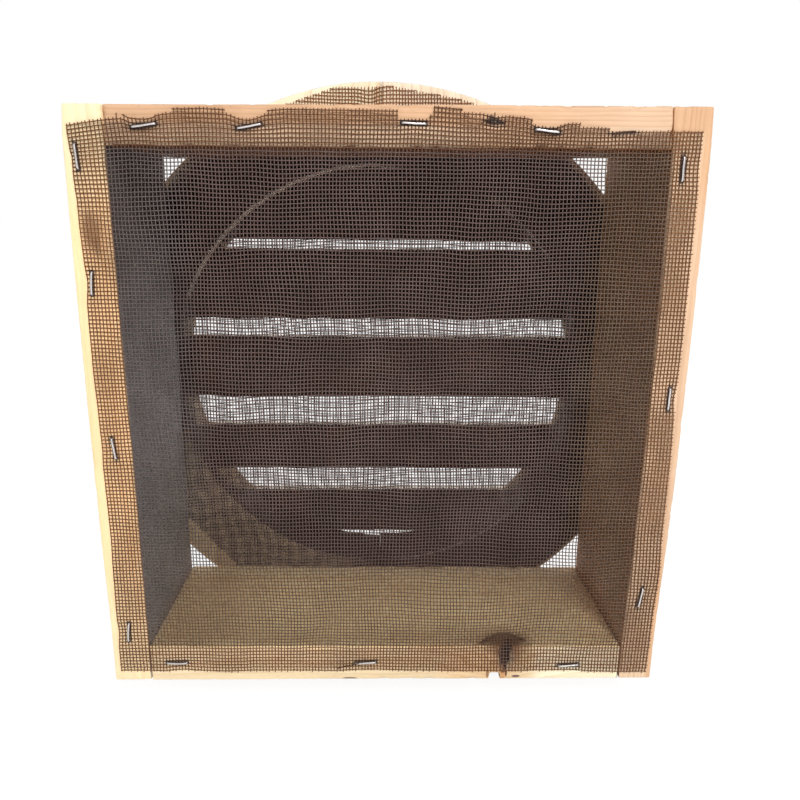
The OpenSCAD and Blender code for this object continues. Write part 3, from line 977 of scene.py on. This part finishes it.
def half_ring(name, side, hole, material, node, seed, stations=181, seam=0.10):
    """Half of the ring; side is -1 for left and 1 for right, seam the gap from x = 0."""
    profile = ring_profile(hole)
    count = len(profile)
    radii, depths = profile.T
    turn = np.linspace(0, np.pi, stations)       # from the top seam to the bottom seam
    x = side * np.outer(np.sin(turn), radii)
    x[[0, -1]] = side * seam
    z = np.outer(np.cos(turn), radii) + np.where(radii < (hole + RING_R) / 2, HOLE_Z, 0.0)
    verts = np.stack([x, np.broadcast_to(depths, x.shape), z], -1).reshape(-1, 3)
    quads = []
    for k in range(stations - 1):
        for j in range(count):
            a, b = k * count + j, k * count + (j + 1) % count
            c, d = b + count, a + count
            quads.append((a, b, c, d) if side > 0 else (a, d, c, b))
    normals = vertex_normals(verts, quads)
    radius = np.hypot(verts[:, 0], verts[:, 2])
    angle = np.arctan2(verts[:, 2], verts[:, 0])

    # the rim stands a little high, and is stretched right and lower left
    rim = smooth(124, 158, radius)
    verts[:, 2] += 0.7 * rim
    verts[:, 0] += rim * (
        1.2 * np.clip(verts[:, 0] / 90, 0, 1) * (0.75 + 0.35 * np.clip(verts[:, 2] / 110, -1, 1))
        - 0.6 * np.clip(-verts[:, 0] / 90, 0, 1) * np.clip(-verts[:, 2] / 90, 0, 1))

    # uneven faces; the hole's wall wanders and has saw marks
    wander = Waves(seed, 2, 0.55, count=12)
    medium, fine = Waves(seed + 1, 3, 22), Waves(seed + 2, 3, 5, stretch=(1, 1, 6))
    saw = Waves(seed + 3, 2, 0.035, count=12, stretch=(1, 400))
    push = 0.05 * medium(*verts.T) + 0.03 * fine(*verts.T) - 0.08
    push += np.exp(-np.abs(radius - hole) / 1.5) * (
        0.45 * wander(angle, angle * 0) + 0.10 * saw(angle, verts[:, 1]))
    at_seam = np.minimum(np.abs(angle - np.pi / 2), np.abs(angle + np.pi / 2)) < 0.012
    push[at_seam] = np.minimum(push[at_seam], 0)
    normals[:count, 0] = 0
    normals[-count:, 0] = 0
    verts = verts + normals * push[:, None]

    first = tuple(range(count))
    last = tuple(range((stations - 1) * count, stations * count))
    caps = [first[::-1], last] if side > 0 else [first, last[::-1]]
    ob = make_object(name, verts, quads + caps)
    for polygon in ob.data.polygons:
        if len(polygon.vertices) > 4:
            polygon.use_smooth = False
    give(ob, material, node)


half_ring("ring_left_wood", -1, HOLE_LEFT, BASE_LEFT, "ring_left_half", 51)
half_ring("ring_right_wood", 1, HOLE_RIGHT, BASE_RIGHT,
          "ring_right_half", 61)

# ---------------------------------------------------------------- slats
SLATS = [("slat_1_top", 0.9), ("slat_2", 0.95), ("slat_3_middle", 1.15), ("slat_4", 1.1),
         ("slat_5_bottom", 1.0)]      # node, strength of the painted shade tint
SLAT_END_R = RING_R - 1.5             # the slats' ends follow this circle


def slat(number, node, painted_shade):
    lo, hi = box_of(node)
    material = wood(
        f"slat_{number}", (0.74, 0.58, 0.40), (0.50, 0.34, 0.20), "X",
        pith=(60 + 17 * number, -90 + 31 * number), pitch=2.4, contrast=0.8,
        seed=2.1 + 0.37 * number, blotch=0.14, rough=0.72, bump_strength=0.4,
        mask=slat_mask(painted_shade, float(lo[1]), float(hi[2])))
    half = (hi[0] - lo[0]) / 2
    verts, quads = rounded_box(lo, hi, 0.6, (2.2, 2.0, 2.0))
    reach = np.sqrt(np.maximum(SLAT_END_R ** 2 - verts[:, 2] ** 2, 1))
    near_end = smooth(half - 60, half - 0.6, np.abs(verts[:, 0]))
    verts[:, 0] += np.sign(verts[:, 0]) * (reach - half) * near_end
    normals = vertex_normals(verts, quads)
    push = (0.18 * Waves(70 + number, 3, 90)(*verts.T)
            + 0.07 * Waves(80 + number, 3, 12, stretch=(10, 1, 1))(*verts.T)
            + 0.05 * Waves(90 + number, 3, 3.6, stretch=(12, 1, 1))(*verts.T) - 0.16)
    chip = np.clip(Waves(95 + number, 3, 9, count=20, spread=3)(*verts.T) - 0.2, 0, None)
    push -= arris_nearness(verts, lo, hi) * chip * 0.9
    ob = make_object(node + "_wood", verts + normals * push[:, None], quads)
    give(ob, material, node)


for number, (node, painted_shade) in enumerate(SLATS):
    slat(number, node, painted_shade)

# ---------------------------------------------------------------- insect screen
PITCH_X, PITCH_Z = 25.4 / 16, 1.83    # thread spacing
THREAD_R = 0.245                      # thread radius, with its coat
BEYOND = np.linspace(0.1, 0.9, 5)     # parts of a step tried past the last crossing

# The flat front cloth: its edges, u and v from the box axis.
U0, U1, V0, V1 = -134.6, 136.0, -134.4, 136.8
# Height of the cut top edge, and how far the cloth is pulled and pinched there: x, z.
TOP_EDGE = np.array([
    (-136, 129.6), (-130, 131.0), (-121.3, 132.4), (-113.5, 133.4), (-110.6, 133.1),
    (-109.2, 131.9), (-104.2, 131.7), (-99.8, 131.9), (-97.8, 133.7), (-94, 135.2),
    (-86, 136.2), (-78, 136.4), (-69.5, 135.8), (-65.5, 134.4), (-63, 133.3), (-57, 133.3),
    (-53, 134.6), (-49, 136.2), (-43.6, 137.2), (-20, 137.1), (3.8, 136.6), (20, 137.9),
    (32, 136.9), (43, 135.6), (53, 134.4), (57.5, 133.9), (61, 132.9), (62.6, 131.4),
    (67.8, 131.1), (72.6, 131.4), (74.5, 132.2), (82, 131.4), (90, 130.5), (94.5, 129.6),
    (96.3, 128.7), (105.2, 128.5), (107, 129.0), (112, 129.2), (129, 129.0), (138, 129.0)])
TOP_PULL = np.array([
    (-136, -4.0), (-130, -3.0), (-121, -1.6), (-113, -0.8), (-97, -0.9), (-90, -0.4),
    (-78, -0.2), (-69, -0.6), (-60, -1.3), (-50, -0.7), (-43, 0.0), (4, -0.3), (20, -0.3),
    (43, -1.6), (56, -2.4), (68, -3.0), (80, -2.8), (97, -2.7), (112, -2.2), (138, -1.8)])
TOP_DIP = np.array([
    (-136, 0), (-112, 0), (-110.4, -0.6), (-109, -1.7), (-104, -1.9), (-99.8, -1.7),
    (-98, -0.5), (-95, 0), (-67, 0), (-64, -1.1), (-60, -1.5), (-56, -1.1), (-52, 0),
    (40, 0), (42, -0.5), (45, -0.9), (48, -0.5), (50, 0), (59, 0), (61, -0.6),
    (62.8, -1.5), (67.8, -1.6), (72.4, -1.5), (74.3, -0.5), (77, 0), (138, 0)])
# The other edges: z, x for left and right; x, z for the bottom.
LEFT_EDGE = np.array([
    (-140, -135.6), (-134, -135.5), (-120, -135.5), (-105, -135.2), (-83, -134.7),
    (-61, -134.1), (-40, -134.2), (-20, -134.4), (-10, -134.1), (0, -134.1), (19, -134.3),
    (37, -134.4), (56, -134.2), (65, -133.7), (86, -134.0), (99, -134.1), (111, -134.8),
    (130, -135.4), (140, -135.6)])
RIGHT_EDGE = np.array([
    (-140, 134.8), (-132, 135.8), (-117, 136.0), (-103, 136.2), (-92, 137.1), (-75, 137.2),
    (-61, 136.4), (-19, 136.4), (9, 135.6), (30, 135.9), (58, 135.8), (104, 135.4),
    (118, 134.9), (129, 134.9), (140, 134.9)])
BOTTOM_EDGE = np.array([
    (-140, -134.2), (-112, -134.3), (-108, -133.6), (-102, -133.6), (-98, -134.3),
    (-60, -134.4), (-25, -134.3), (-16, -133.9), (-5, -134.0), (10, -134.6), (60, -135.0),
    (90, -134.6), (99, -134.6), (104, -135.4), (138, -135.8)])


def eased_line(x, table, reach=1.2):
    """A control line with its corners taken off."""
    shifts = (-reach, -reach / 2, 0, reach / 2, reach)
    return sum(np.interp(x + shift, *table.T) for shift in shifts) / 5


def wave_set(seed, wavelengths):
    return [Waves(seed + i, 2, length) for i, length in enumerate(wavelengths)]


(drift_x, drift_z, ripple_x, ripple_z, sag, lift_wave, jiggle_x,
 jiggle_z) = wave_set(101, (75, 70, 34, 36, 80, 38, 12, 12))


def front_map(u, v):
    """Place of the flat cloth: drift, hem pulls, pinches at the staples and sag."""
    edge = np.minimum(np.minimum(u - U0, U1 - u), np.minimum(v - V0, V1 - v))
    core = smooth(0, 30, edge)
    x = u + core * (0.75 * drift_x(u, v) + 0.22 * ripple_x(u, v)) + 0.035 * jiggle_x(u, v)
    z = v + core * (0.80 * drift_z(u, v) + 0.25 * ripple_z(u, v)) + 0.035 * jiggle_z(u, v)
    x = (x + (eased_line(v, LEFT_EDGE) - U0) * smooth(24, 0, u - U0)
         + (eased_line(v, RIGHT_EDGE) - U1) * smooth(24, 0, U1 - u))
    z = (z + eased_line(u, TOP_PULL) * smooth(108, 135, v)
         + eased_line(u, TOP_DIP, 0.9) * smooth(126.5, 134, v))
    z = z + (eased_line(u, BOTTOM_EDGE) - V0) * smooth(14, 0, v - V0)

    # staples along the top and bottom, then the sides, draw threads in and press them down
    press = np.zeros_like(u)
    for key in ("top", "sunk", "rusty", "bottom"):
        for sx, sz, _ in STAPLES[key]:
            out = 1.0 if sz > 0 else -1.0
            pull = np.exp(-((u - sx) / 7.0) ** 2 - ((v - sz + out * 3.5) / 4.5) ** 2)
            z = z + out * 0.40 * pull
            x = x - 0.07 * (u - sx) * pull
            held = np.exp(-((u - sx) / 6.5) ** 4 - ((v - sz) / 2.6) ** 2)
            press = np.maximum(press, held)
    for sx, sz, _ in STAPLES["left"] + STAPLES["right"]:
        out = 1.0 if sx > 0 else -1.0
        inner = np.exp(-((u - sx + out * 3.0) / 4.5) ** 2 - ((v - sz) / 6.5) ** 2)
        outer = np.exp(-((u - sx - out * 3.5) / 3.5) ** 2 - ((v - sz) / 6.0) ** 2)
        x = x + out * 0.30 * inner - out * 0.7 * outer
        held = np.exp(-((u - sx) / 2.6) ** 2 - ((v - sz) / 6.5) ** 4)
        press = np.maximum(press, held)

    # height off the boards, with sag in the opening and a dent at the sunk staple
    inside = smooth(0, 16, OPEN_X - np.abs(x)) * smooth(0, 16, OPEN_Z - np.abs(z))
    lift = 0.34 + 0.30 * np.clip(lift_wave(u, v) + 0.4, 0, None)
    curl = np.clip(ripple_x(u * 1.1, u * 0 + 3) + 0.4, 0, None)
    hem = smooth(128.5, 135, v) * (0.25 + 0.9 * curl)
    off = (lift + hem) * (1 - press) * (1 - 0.5 * inside) + 0.24 * press
    off = off + inside * (0.5 + 1.1 * sag(u, v) + 0.35 * lift_wave(v, u))
    sunk = np.exp(-((u - 44.8) / 3.6) ** 2 - ((v - 133.6) / 2.4) ** 2)
    off = off * (1 - sunk) + 0.12 * sunk
    return x + AXIS_X, FRONT - off, z


def in_front(x, z, u, v):
    """Which points of the flat front cloth are kept, with a notch in the top edge."""
    top = (eased_line(u, TOP_EDGE, 0.7) - eased_line(u, TOP_PULL)
           - eased_line(u, TOP_DIP, 0.9))
    notch = (u > 4.0) & (u < 19.2)
    top = np.where(notch, np.where(u < 17.6, 133.0, 135.0), top)
    return (u > U0 - 0.1) & (u < U1 + 0.1) & (v > V0 - 0.1) & (v < top + 0.50)


def crown_thread_shadow(x, z):
    """Painted shadow on the threads, which bunch along each crown, and round the sunk staple."""
    out = np.zeros_like(x)
    for key, items in STAPLES.items():
        for sx, sz, turn in items:
            cos, sin = math.cos(math.radians(turn)), math.sin(math.radians(turn))
            along = (x - sx) * cos + (z - sz) * sin
            across = -(x - sx) * sin + (z - sz) * cos
            distance = np.hypot(np.maximum(np.abs(along) - 5.4, 0), across)
            if key == "sunk":
                distance = np.hypot(along * 0.42, across * 0.9) * 0.75
            out = np.maximum(out, smooth(2.1, 1.2, distance))
    return out


def set_darkening(ob, values):
    attribute = ob.data.attributes.new("darkening", "FLOAT", "POINT")
    attribute.data.foreach_set("value", values.astype(np.float32))


def weave(name, us, vs, place, inside, material, node, seed, radius, sides, fray,
          reach=9.0, darkening=None):
    """Plain weave over a mapped sheet: warp runs along v, weft along u, each in two pieces.

    place maps (u, v) to x, y, z and inside tells which points are kept. fray is the range
    of the loose ends and reach their greatest length.
    """
    crimp = radius * 0.80
    rng = np.random.default_rng(seed)
    for kind, parts in (("warp", ("left", "right")), ("weft", ("low", "high"))):
        is_warp = kind == "warp"
        fixed, running = (us, vs) if is_warp else (vs, us)
        step = running[1] - running[0]

        def sheet(line, along):
            u, v = np.full_like(along, line), along
            if not is_warp:
                u, v = v, u
            return (*place(u, v), u, v)

        halves = (TubeSet(), TubeSet())
        for i, line in enumerate(fixed):
            t = np.arange(running[0] - 2 * step, running[-1] + 2 * step, step)
            x, y, z, u, v = sheet(line, t)
            crossing = (t - running[0]) / step
            y = y + crimp * np.cos(np.pi * (crossing + i)) * (1 if is_warp else -1)
            kept = np.flatnonzero(inside(x, z, u, v))
            if len(kept) < 3:
                continue
            for run in np.split(kept, np.flatnonzero(np.diff(kept) > 1) + 1):
                if len(run) < 3:
                    continue
                path = np.stack([x[run], y[run], z[run]], -1)
                # cut ends run on to the cut line and a little past it
                for end, previous, sense in ((0, 1, -1), (-1, -2, 1)):
                    outward = path[end] - path[previous]
                    outward = outward / np.linalg.norm(outward)
                    xe, _, ze, ue, ve = sheet(line, t[run[end]] + sense * step * BEYOND)
                    on = inside(xe, ze, ue, ve)
                    length = BEYOND[on].max() * step if on.any() else 0.0
                    length = min(length + rng.uniform(*fray) * (1.0 if is_warp else 0.6),
                                 reach + rng.uniform(-0.15, 0.15))
                    tail = (path[end] + outward * length
                            + np.array([0, -rng.uniform(0, 0.22), 0])
                            + outward[[2, 1, 0]] * rng.normal(0, 0.06))
                    path = np.vstack([tail, path] if end == 0 else [path, tail])
                halves[i >= len(fixed) // 2].add(wire(path, radius, sides))
        for part, tubes in zip(parts, halves):
            ob = tubes.build(f"{name}_{kind}_{part}")
            if darkening is not None:
                verts = np.concatenate(tubes.verts)
                set_darkening(ob, darkening(verts[:, 0] - AXIS_X, verts[:, 2]))
            give(ob, material, node)


front_us = U0 + 0.05 + PITCH_X * np.arange(171)
front_us = front_us[front_us < U1 + 0.1]
front_vs = V0 + 0.1 + PITCH_Z * np.arange(151)
weave("front_screen", front_us, front_vs, front_map, in_front, FRONT_CLOTH,
      "front_screen", seed=5, radius=THREAD_R, sides=6, fray=(0.15, 0.70), reach=0.80,
      darkening=crown_thread_shadow)


def loose_thread():
    """One thread torn loose beside the middle bottom staple."""
    knots = np.array([                # x from the box axis, height off the boards, z
        (-24.6, 1.05, -132.9), (-23.6, 1.35, -132.3), (-20.6, 1.7, -131.1),
        (-17.4, 1.75, -130.5), (-14.9, 1.45, -130.0), (-13.4, 1.0, -129.9)])
    t = np.linspace(0, 5, 26)
    path = np.stack([np.interp(t, np.arange(6), column) for column in knots.T], -1)
    path[1:-1] = (path[:-2] + 2 * path[1:-1] + path[2:]) / 4
    x, off, z = path.T
    tubes = TubeSet()
    tubes.add(wire(np.stack([x + AXIS_X, FRONT - off, z], -1), 0.24, 6))
    ob = tubes.build("front_screen_loose_thread")
    set_darkening(ob, np.full(tubes.count, 0.9))
    give(ob, FRONT_CLOTH, "front_screen")


loose_thread()

(base_drift_x, base_drift_z, base_ripple_x, base_ripple_z, base_sag, base_jiggle_x,
 base_jiggle_z) = wave_set(201, (90, 85, 38, 40, 70, 12, 12))
BASE_TURN = math.radians(0.7)         # the base cloth lies slightly askew
BASE_TOP_CUT = np.array([             # x, z of the cut along the top
    (-62, 144.6), (-49.1, 149.2), (-43.8, 151.1), (-37.1, 153.3), (-31.1, 155.2),
    (-24.5, 157.5), (-11.2, 157.6), (-3.3, 157.7), (2.5, 158.7), (11.3, 157.6),
    (17.3, 156.4), (26.6, 155.0), (34.5, 153.8), (42.0, 152.4), (47.4, 150.9), (60, 146.4)])


def ring_map(u, v):
    """Place of the flat base cloth."""
    cos, sin = math.cos(BASE_TURN), math.sin(BASE_TURN)
    x = (u * cos - v * sin + 0.9 * base_drift_x(u, v) + 0.25 * base_ripple_x(u, v)
         + 0.03 * base_jiggle_x(u, v))
    z = (u * sin + v * cos + 0.9 * base_drift_z(u, v) + 0.25 * base_ripple_z(u, v)
         + 0.03 * base_jiggle_z(u, v))
    inside = smooth(0, 14, 112 - np.hypot(x, z))
    # a crease at the top of the rim
    crease = smooth(143, 151, z) * smooth(40, 25, np.abs(x))
    z = z + crease * (-1.25 * np.exp(-((x + 6.5) / 4.6) ** 2)
                      + 0.55 * np.exp(-((x - 5.0) / 6.0) ** 2))
    x = x - crease * 1.55 * (x + 2.8) / 3.6 * np.exp(-((x + 2.8) / 3.6) ** 2)
    # flatter where the boards hold it
    out_x, out_z = np.abs(x - AXIS_X), np.abs(z)
    held = ((out_x < OPEN_X + BOARD) & (out_z < BOX_TOP)
            & ((out_x > OPEN_X - 1) | (out_z > OPEN_Z - 1)))
    off = 0.40 + np.where(held, 0.0, 0.10) + inside * (0.9 * base_sag(u, v))
    return x, RING_FRONT - off, z


def in_ring(x, z, u, v):
    """Inside the wavy rim, cut straight at the lower left and trimmed along the top."""
    angle = np.arctan2(z, x)
    rim = 157.6 + 0.5 * np.sin(9 * angle + 1.0) + 0.35 * np.sin(17 * angle)
    rim = np.where((z > 100) & (np.abs(x) < 56), 159.6, rim)
    top = np.where(np.abs(x) < 62, np.interp(x, *BASE_TOP_CUT.T), 158.0)
    return (np.hypot(x, z) < rim) & ((-0.759 * x - 0.651 * z) < 146.9) & (z < top)


weave("ring_screen", np.arange(-160.2, 160.3, PITCH_X), np.arange(-160.5, 160.6, PITCH_Z),
      ring_map, in_ring, BASE_CLOTH, "ring_screen", seed=6, radius=0.232,
      sides=4, fray=(0.1, 0.35))

# ---------------------------------------------------------------- staples
CROWN, LEG, CROWN_BOW, BEND_R = 10.7, 7.6, 0.12, 0.75
WIRE_THICK = 0.52


def staple_line(x, y, z, turn, seed):
    """Centre line of one staple (leg, bend, crown, bend, leg) and its crown's sin, cos."""
    rng = np.random.default_rng(900 + seed)
    half = CROWN / 2 - 0.3
    bends = [(half - BEND_R * (1 - math.cos(a)), BEND_R * (1 - math.sin(a)), 0)
             for a in np.linspace(0, np.pi / 2, 6)]
    points = [(-half, LEG, 0), (-half, LEG * 0.5, 0)]
    points += [(-px, py, pz) for px, py, pz in bends]
    points += [(px, -CROWN_BOW * (1 - (px / half) ** 2), 0)
               for px in np.linspace(-half + BEND_R, half - BEND_R, 9)[1:-1]]
    points += bends[::-1]
    points += [(half, LEG * 0.5, 0), (half, LEG, 0)]
    line = np.array(points)
    line[:, 1] += rng.normal(0, 0.03) * line[:, 0] / half
    line[:, 2] += 0.06 * np.sin(line[:, 0] * 0.6 + rng.uniform(0, 6))
    cos, sin = math.cos(math.radians(turn)), math.sin(math.radians(turn))
    turned_line = np.stack([line[:, 0] * cos - line[:, 2] * sin, line[:, 1],
                            line[:, 0] * sin + line[:, 2] * cos], -1)
    return turned_line + np.array([x, y, z]), sin, cos


def staples(name, items, axis_x, y, material, node, seed, width=0.80):
    """Staples of flattened wire with chamfered corners."""
    side, flat, thick = width / 2, width * 0.36, WIRE_THICK / 2
    chamfer = WIRE_THICK * 0.22
    section = [(side, chamfer), (flat, thick), (-flat, thick), (-side, chamfer),
               (-side, -chamfer), (-flat, -thick), (flat, -thick), (side, -chamfer)]
    tubes = TubeSet()
    for i, (x, z, turn) in enumerate(items):
        line, sin, cos = staple_line(axis_x + x, y, z, turn, seed + i)
        across = np.tile([-sin, 0, cos], (len(line), 1))
        outward = np.cross(across, unit(np.gradient(line, axis=0)))
        tubes.add(np.stack([line + across * a + outward * b for a, b in section], 1))
    ob = tubes.build(name)
    turn_outward(ob)
    give(ob, material, node)


plain = STAPLES["top"] + STAPLES["bottom"] + STAPLES["left"] + STAPLES["right"]
staples("front_staples_wire", plain, AXIS_X, FRONT - 1.0, BRIGHT_STEEL,
        "front_staples", seed=1)
staples("sunk_staple_wire", STAPLES["sunk"], AXIS_X, FRONT - 0.10, DARK_STEEL,
        "sunk_staple", seed=40)
staples("rusty_staple_wire", STAPLES["rusty"], AXIS_X, FRONT - 0.75, RUST,
        "rusty_staple", seed=50, width=0.82)
staples("ring_staples_wire", RING_STAPLES, 0.0, RING_FRONT - 0.95, BRIGHT_STEEL,
        "ring_screen_staples", seed=60)


# ---------------------------------------------------------------- nails and screws
def lathe(profile, origin, axis, sides, recess=None):
    """Rings of a turned shape; profile is (distance along axis, radius), the head first.

    recess is (reach, depth, arm half width, turn) of a cross pressed into the head.
    """
    axis = np.array(axis, float)
    first = np.cross(axis, [0, 0, 1.0])
    second = np.cross(axis, first)
    angle = np.arange(sides) * 2 * np.pi / sides
    rings = []
    for distance, radius in profile:
        depth = np.full(sides, float(distance))
        if recess:
            reach, sunk, arm, turn = recess
            off_arm = np.minimum(np.abs(radius * np.cos(angle + turn)),
                                 np.abs(radius * np.sin(angle + turn)))
            if distance < 0.9 and radius < reach:
                depth += (sunk * smooth(arm, arm * 0.35, off_arm)
                          * smooth(reach, reach * 0.6, radius))
        spoke = np.cos(angle)[:, None] * first + np.sin(angle)[:, None] * second
        rings.append(np.array(origin) + axis * depth[:, None] + radius * spoke)
    return np.stack(rings)


def fasteners(name, shapes, material, node):
    tubes = TubeSet()
    for rings in shapes:
        tubes.add(rings)
    ob = tubes.build(name)
    turn_outward(ob, crease=0.7)
    give(ob, material, node)


def nail(head, shank, length, thick):
    """Profile of a nail: head radius, shank radius, length, head thickness."""
    return [(0.05, 0.05 * head), (0.0, 0.35 * head), (0.02, 0.80 * head), (0.12, 0.97 * head),
            (0.30, head), (thick - 0.1, head), (thick, head * 0.93),
            (thick + 0.05, shank * 1.1), (thick + 0.5, shank), (length - 4, shank),
            (length - 1.2, shank * 0.5), (length, shank * 0.08)]


def screw(head, length):
    """Profile of a screw with a countersunk head of radius head."""
    profile = [(0.02 + 0.02 * k, head * k / 12) for k in range(1, 11)]
    profile += [(0.24, head * 0.93), (0.36, head * 0.985), (0.62, head), (0.85, head * 0.96),
                (head * 0.75, head * 0.50), (head * 0.95, head * 0.46)]
    place = head * 0.95 + 6.0         # end of the plain shank
    profile.append((place, head * 0.46))
    while place < length - 4.5:       # thread
        profile += [(place + 0.35, head * 0.40), (place + 0.75, head * 0.58),
                    (place + 1.15, head * 0.40)]
        place += 1.7
    return profile + [(length - 2.5, head * 0.30), (length, head * 0.05)]


def parts_of(node):
    """Low corner, high corner and centre of every separate solid in a CAD node."""
    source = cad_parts[node]
    world = np.array(source.matrix_world)
    bm = bmesh.new()
    bm.from_mesh(source.data)
    bmesh.ops.remove_doubles(bm, verts=bm.verts, dist=1e-6)
    bm.verts.ensure_lookup_table()
    points = np.array([v.co[:] for v in bm.verts])
    points = (points @ world[:3, :3].T + world[:3, 3]) / MM
    seen, parts = set(), []
    for start in range(len(bm.verts)):
        if start in seen:
            continue
        waiting, found = [start], []
        seen.add(start)
        while waiting:
            current = waiting.pop()
            found.append(current)
            for edge in bm.verts[current].link_edges:
                other = edge.other_vert(bm.verts[current]).index
                if other not in seen:
                    seen.add(other)
                    waiting.append(other)
        lo, hi = points[found].min(0), points[found].max(0)
        parts.append((lo, hi, (lo + hi) / 2))
    bm.free()
    return parts


shapes = []
for lo, hi, centre in parts_of("corner_nails"):
    side = 1.0 if centre[0] > AXIS_X else -1.0
    head_x = hi[0] if side > 0 else lo[0]
    radius = max(hi[2] - lo[2], hi[1] - lo[1]) / 2
    # the head follows the warped face of its board
    moved = warp("right" if side > 0 else "left", np.array([[head_x, centre[1], centre[2]]]))
    shapes.append(lathe(nail(radius, radius * 0.42, hi[0] - lo[0], 1.1),
                        (moved[0][0] + side * 0.05, centre[1], centre[2]), (-side, 0, 0), 20))
fasteners("corner_nails_wire", shapes, NAIL_STEEL, "corner_nails")

shapes = []
for lo, hi, centre in parts_of("slat_nails"):
    radius = (hi[0] - lo[0]) / 2
    shapes.append(lathe(nail(radius, radius * 0.45, hi[1] - lo[1], 0.9),
                        (centre[0], hi[1] + 0.12, centre[2]), (0, -1, 0), 18))
fasteners("slat_nails_wire", shapes, NAIL_STEEL, "slat_nails")

shapes = []
for i, (lo, hi, centre) in enumerate(parts_of("box_screws")):
    radius = (hi[0] - lo[0]) / 2
    turn = np.random.default_rng(80 + i).uniform(0, np.pi / 2)
    shapes.append(lathe(screw(radius, hi[1] - lo[1]), (centre[0], hi[1] + 0.02, centre[2]),
                        (0, -1, 0), 48, recess=(radius * 0.62, 1.5, 0.85, turn)))
fasteners("box_screws_wire", shapes, ZINC, "box_screws")

# ---------------------------------------------------------------- studio
scene = bpy.context.scene


def add_floor():
    """Pale floor just under the ring, nearly pure white to the camera."""
    bpy.ops.mesh.primitive_plane_add(size=14, location=(0, 0, (-RING_R - 0.3) * MM))
    floor = bpy.context.object
    floor.name = "floor"
    material, tree, bsdf = new_material("floor_pale")
    set_inputs(bsdf, {"Base Color": (0.93, 0.93, 0.935, 1), "Roughness": 0.9})
    glow = tree.nodes.new("ShaderNodeEmission")
    set_inputs(glow, {0: (1, 1, 1, 1), 1: 1.06})       # colour, strength
    blend = tree.nodes.new("ShaderNodeMixShader")
    rays = tree.nodes.new("ShaderNodeLightPath")
    share = tree.nodes.new("ShaderNodeMath")
    share.operation = "MULTIPLY"
    set_inputs(share, {0: Signal(tree, rays.outputs["Is Camera Ray"]), 1: 0.86})
    set_inputs(blend, {0: Signal(tree, share.outputs[0]), 1: Signal(tree, bsdf.outputs[0]),
                       2: Signal(tree, glow.outputs[0])})
    output = next(n for n in tree.nodes if n.type == "OUTPUT_MATERIAL")
    tree.links.new(blend.outputs[0], output.inputs[0])
    floor.data.materials.append(material)


def add_world():
    """White to the camera; as light, stronger from the back than from the front."""
    world = bpy.data.worlds.new("studio")
    scene.world = world
    world.use_nodes = True
    tree = world.node_tree
    tree.nodes.clear()
    output = tree.nodes.new("ShaderNodeOutputWorld")
    rays = tree.nodes.new("ShaderNodeLightPath")
    coords = tree.nodes.new("ShaderNodeTexCoord")
    direction = split(Signal(tree, coords.outputs["Generated"]))
    blend = tree.nodes.new("ShaderNodeMixShader")
    plug(blend.inputs[0], Signal(tree, rays.outputs["Is Camera Ray"]))
    strengths = (fade(direction[1], -0.15, 0.55, 0.40, 1.20), 1.0)
    for i, strength in enumerate(strengths, 1):
        background = tree.nodes.new("ShaderNodeBackground")
        set_inputs(background, {0: (1, 1, 1, 1), 1: strength})
        tree.links.new(background.outputs[0], blend.inputs[i])
    tree.links.new(blend.outputs[0], output.inputs[0])


def add_key_light():
    """A disk light in front, to the right and above; metres and watts."""
    light = bpy.data.lights.new("key", "AREA")
    light.shape = "DISK"
    light.size = 0.6
    light.energy = 26.0
    light.color = (1, 0.97, 0.93)
    ob = link("key", light)
    ob.location = (0.42, -1.40, 1.15)
    aim = Vector((0, -0.08, 0)) - Vector((0.42, -1.40, 1.15))
    ob.rotation_euler = aim.to_track_quat("-Z", "Y").to_euler()


def add_camera():
    """In front of the box and above its middle, looking slightly down."""
    camera = bpy.data.cameras.new("photo_view")
    camera.lens = 33.56
    camera.sensor_width = 36
    camera.sensor_fit = "HORIZONTAL"
    camera.clip_start = 0.01
    ob = link("photo_view", camera)
    roll, pitch, yaw = [np.array(Matrix.Rotation(math.radians(degrees), 3, axis))
                        for degrees, axis in ((-0.55, "Z"), (15.15, "X"), (1.19, "Y"))]
    level = np.array([[1, 0, 0], [0, 0, -1], [0, 1, 0]])   # looks along +Y with Z up
    matrix = Matrix((level @ (roll @ pitch @ yaw).T).tolist()).to_4x4()
    matrix.translation = Vector(((AXIS_X - 0.97) * MM, (FRONT - 336.0) * MM, 101.0 * MM))
    ob.matrix_world = matrix
    scene.camera = ob


add_floor()
add_world()
add_key_light()
add_camera()
scene.view_settings.view_transform = "Standard"
scene.view_settings.look = "None"
scene.view_settings.exposure = 0.0
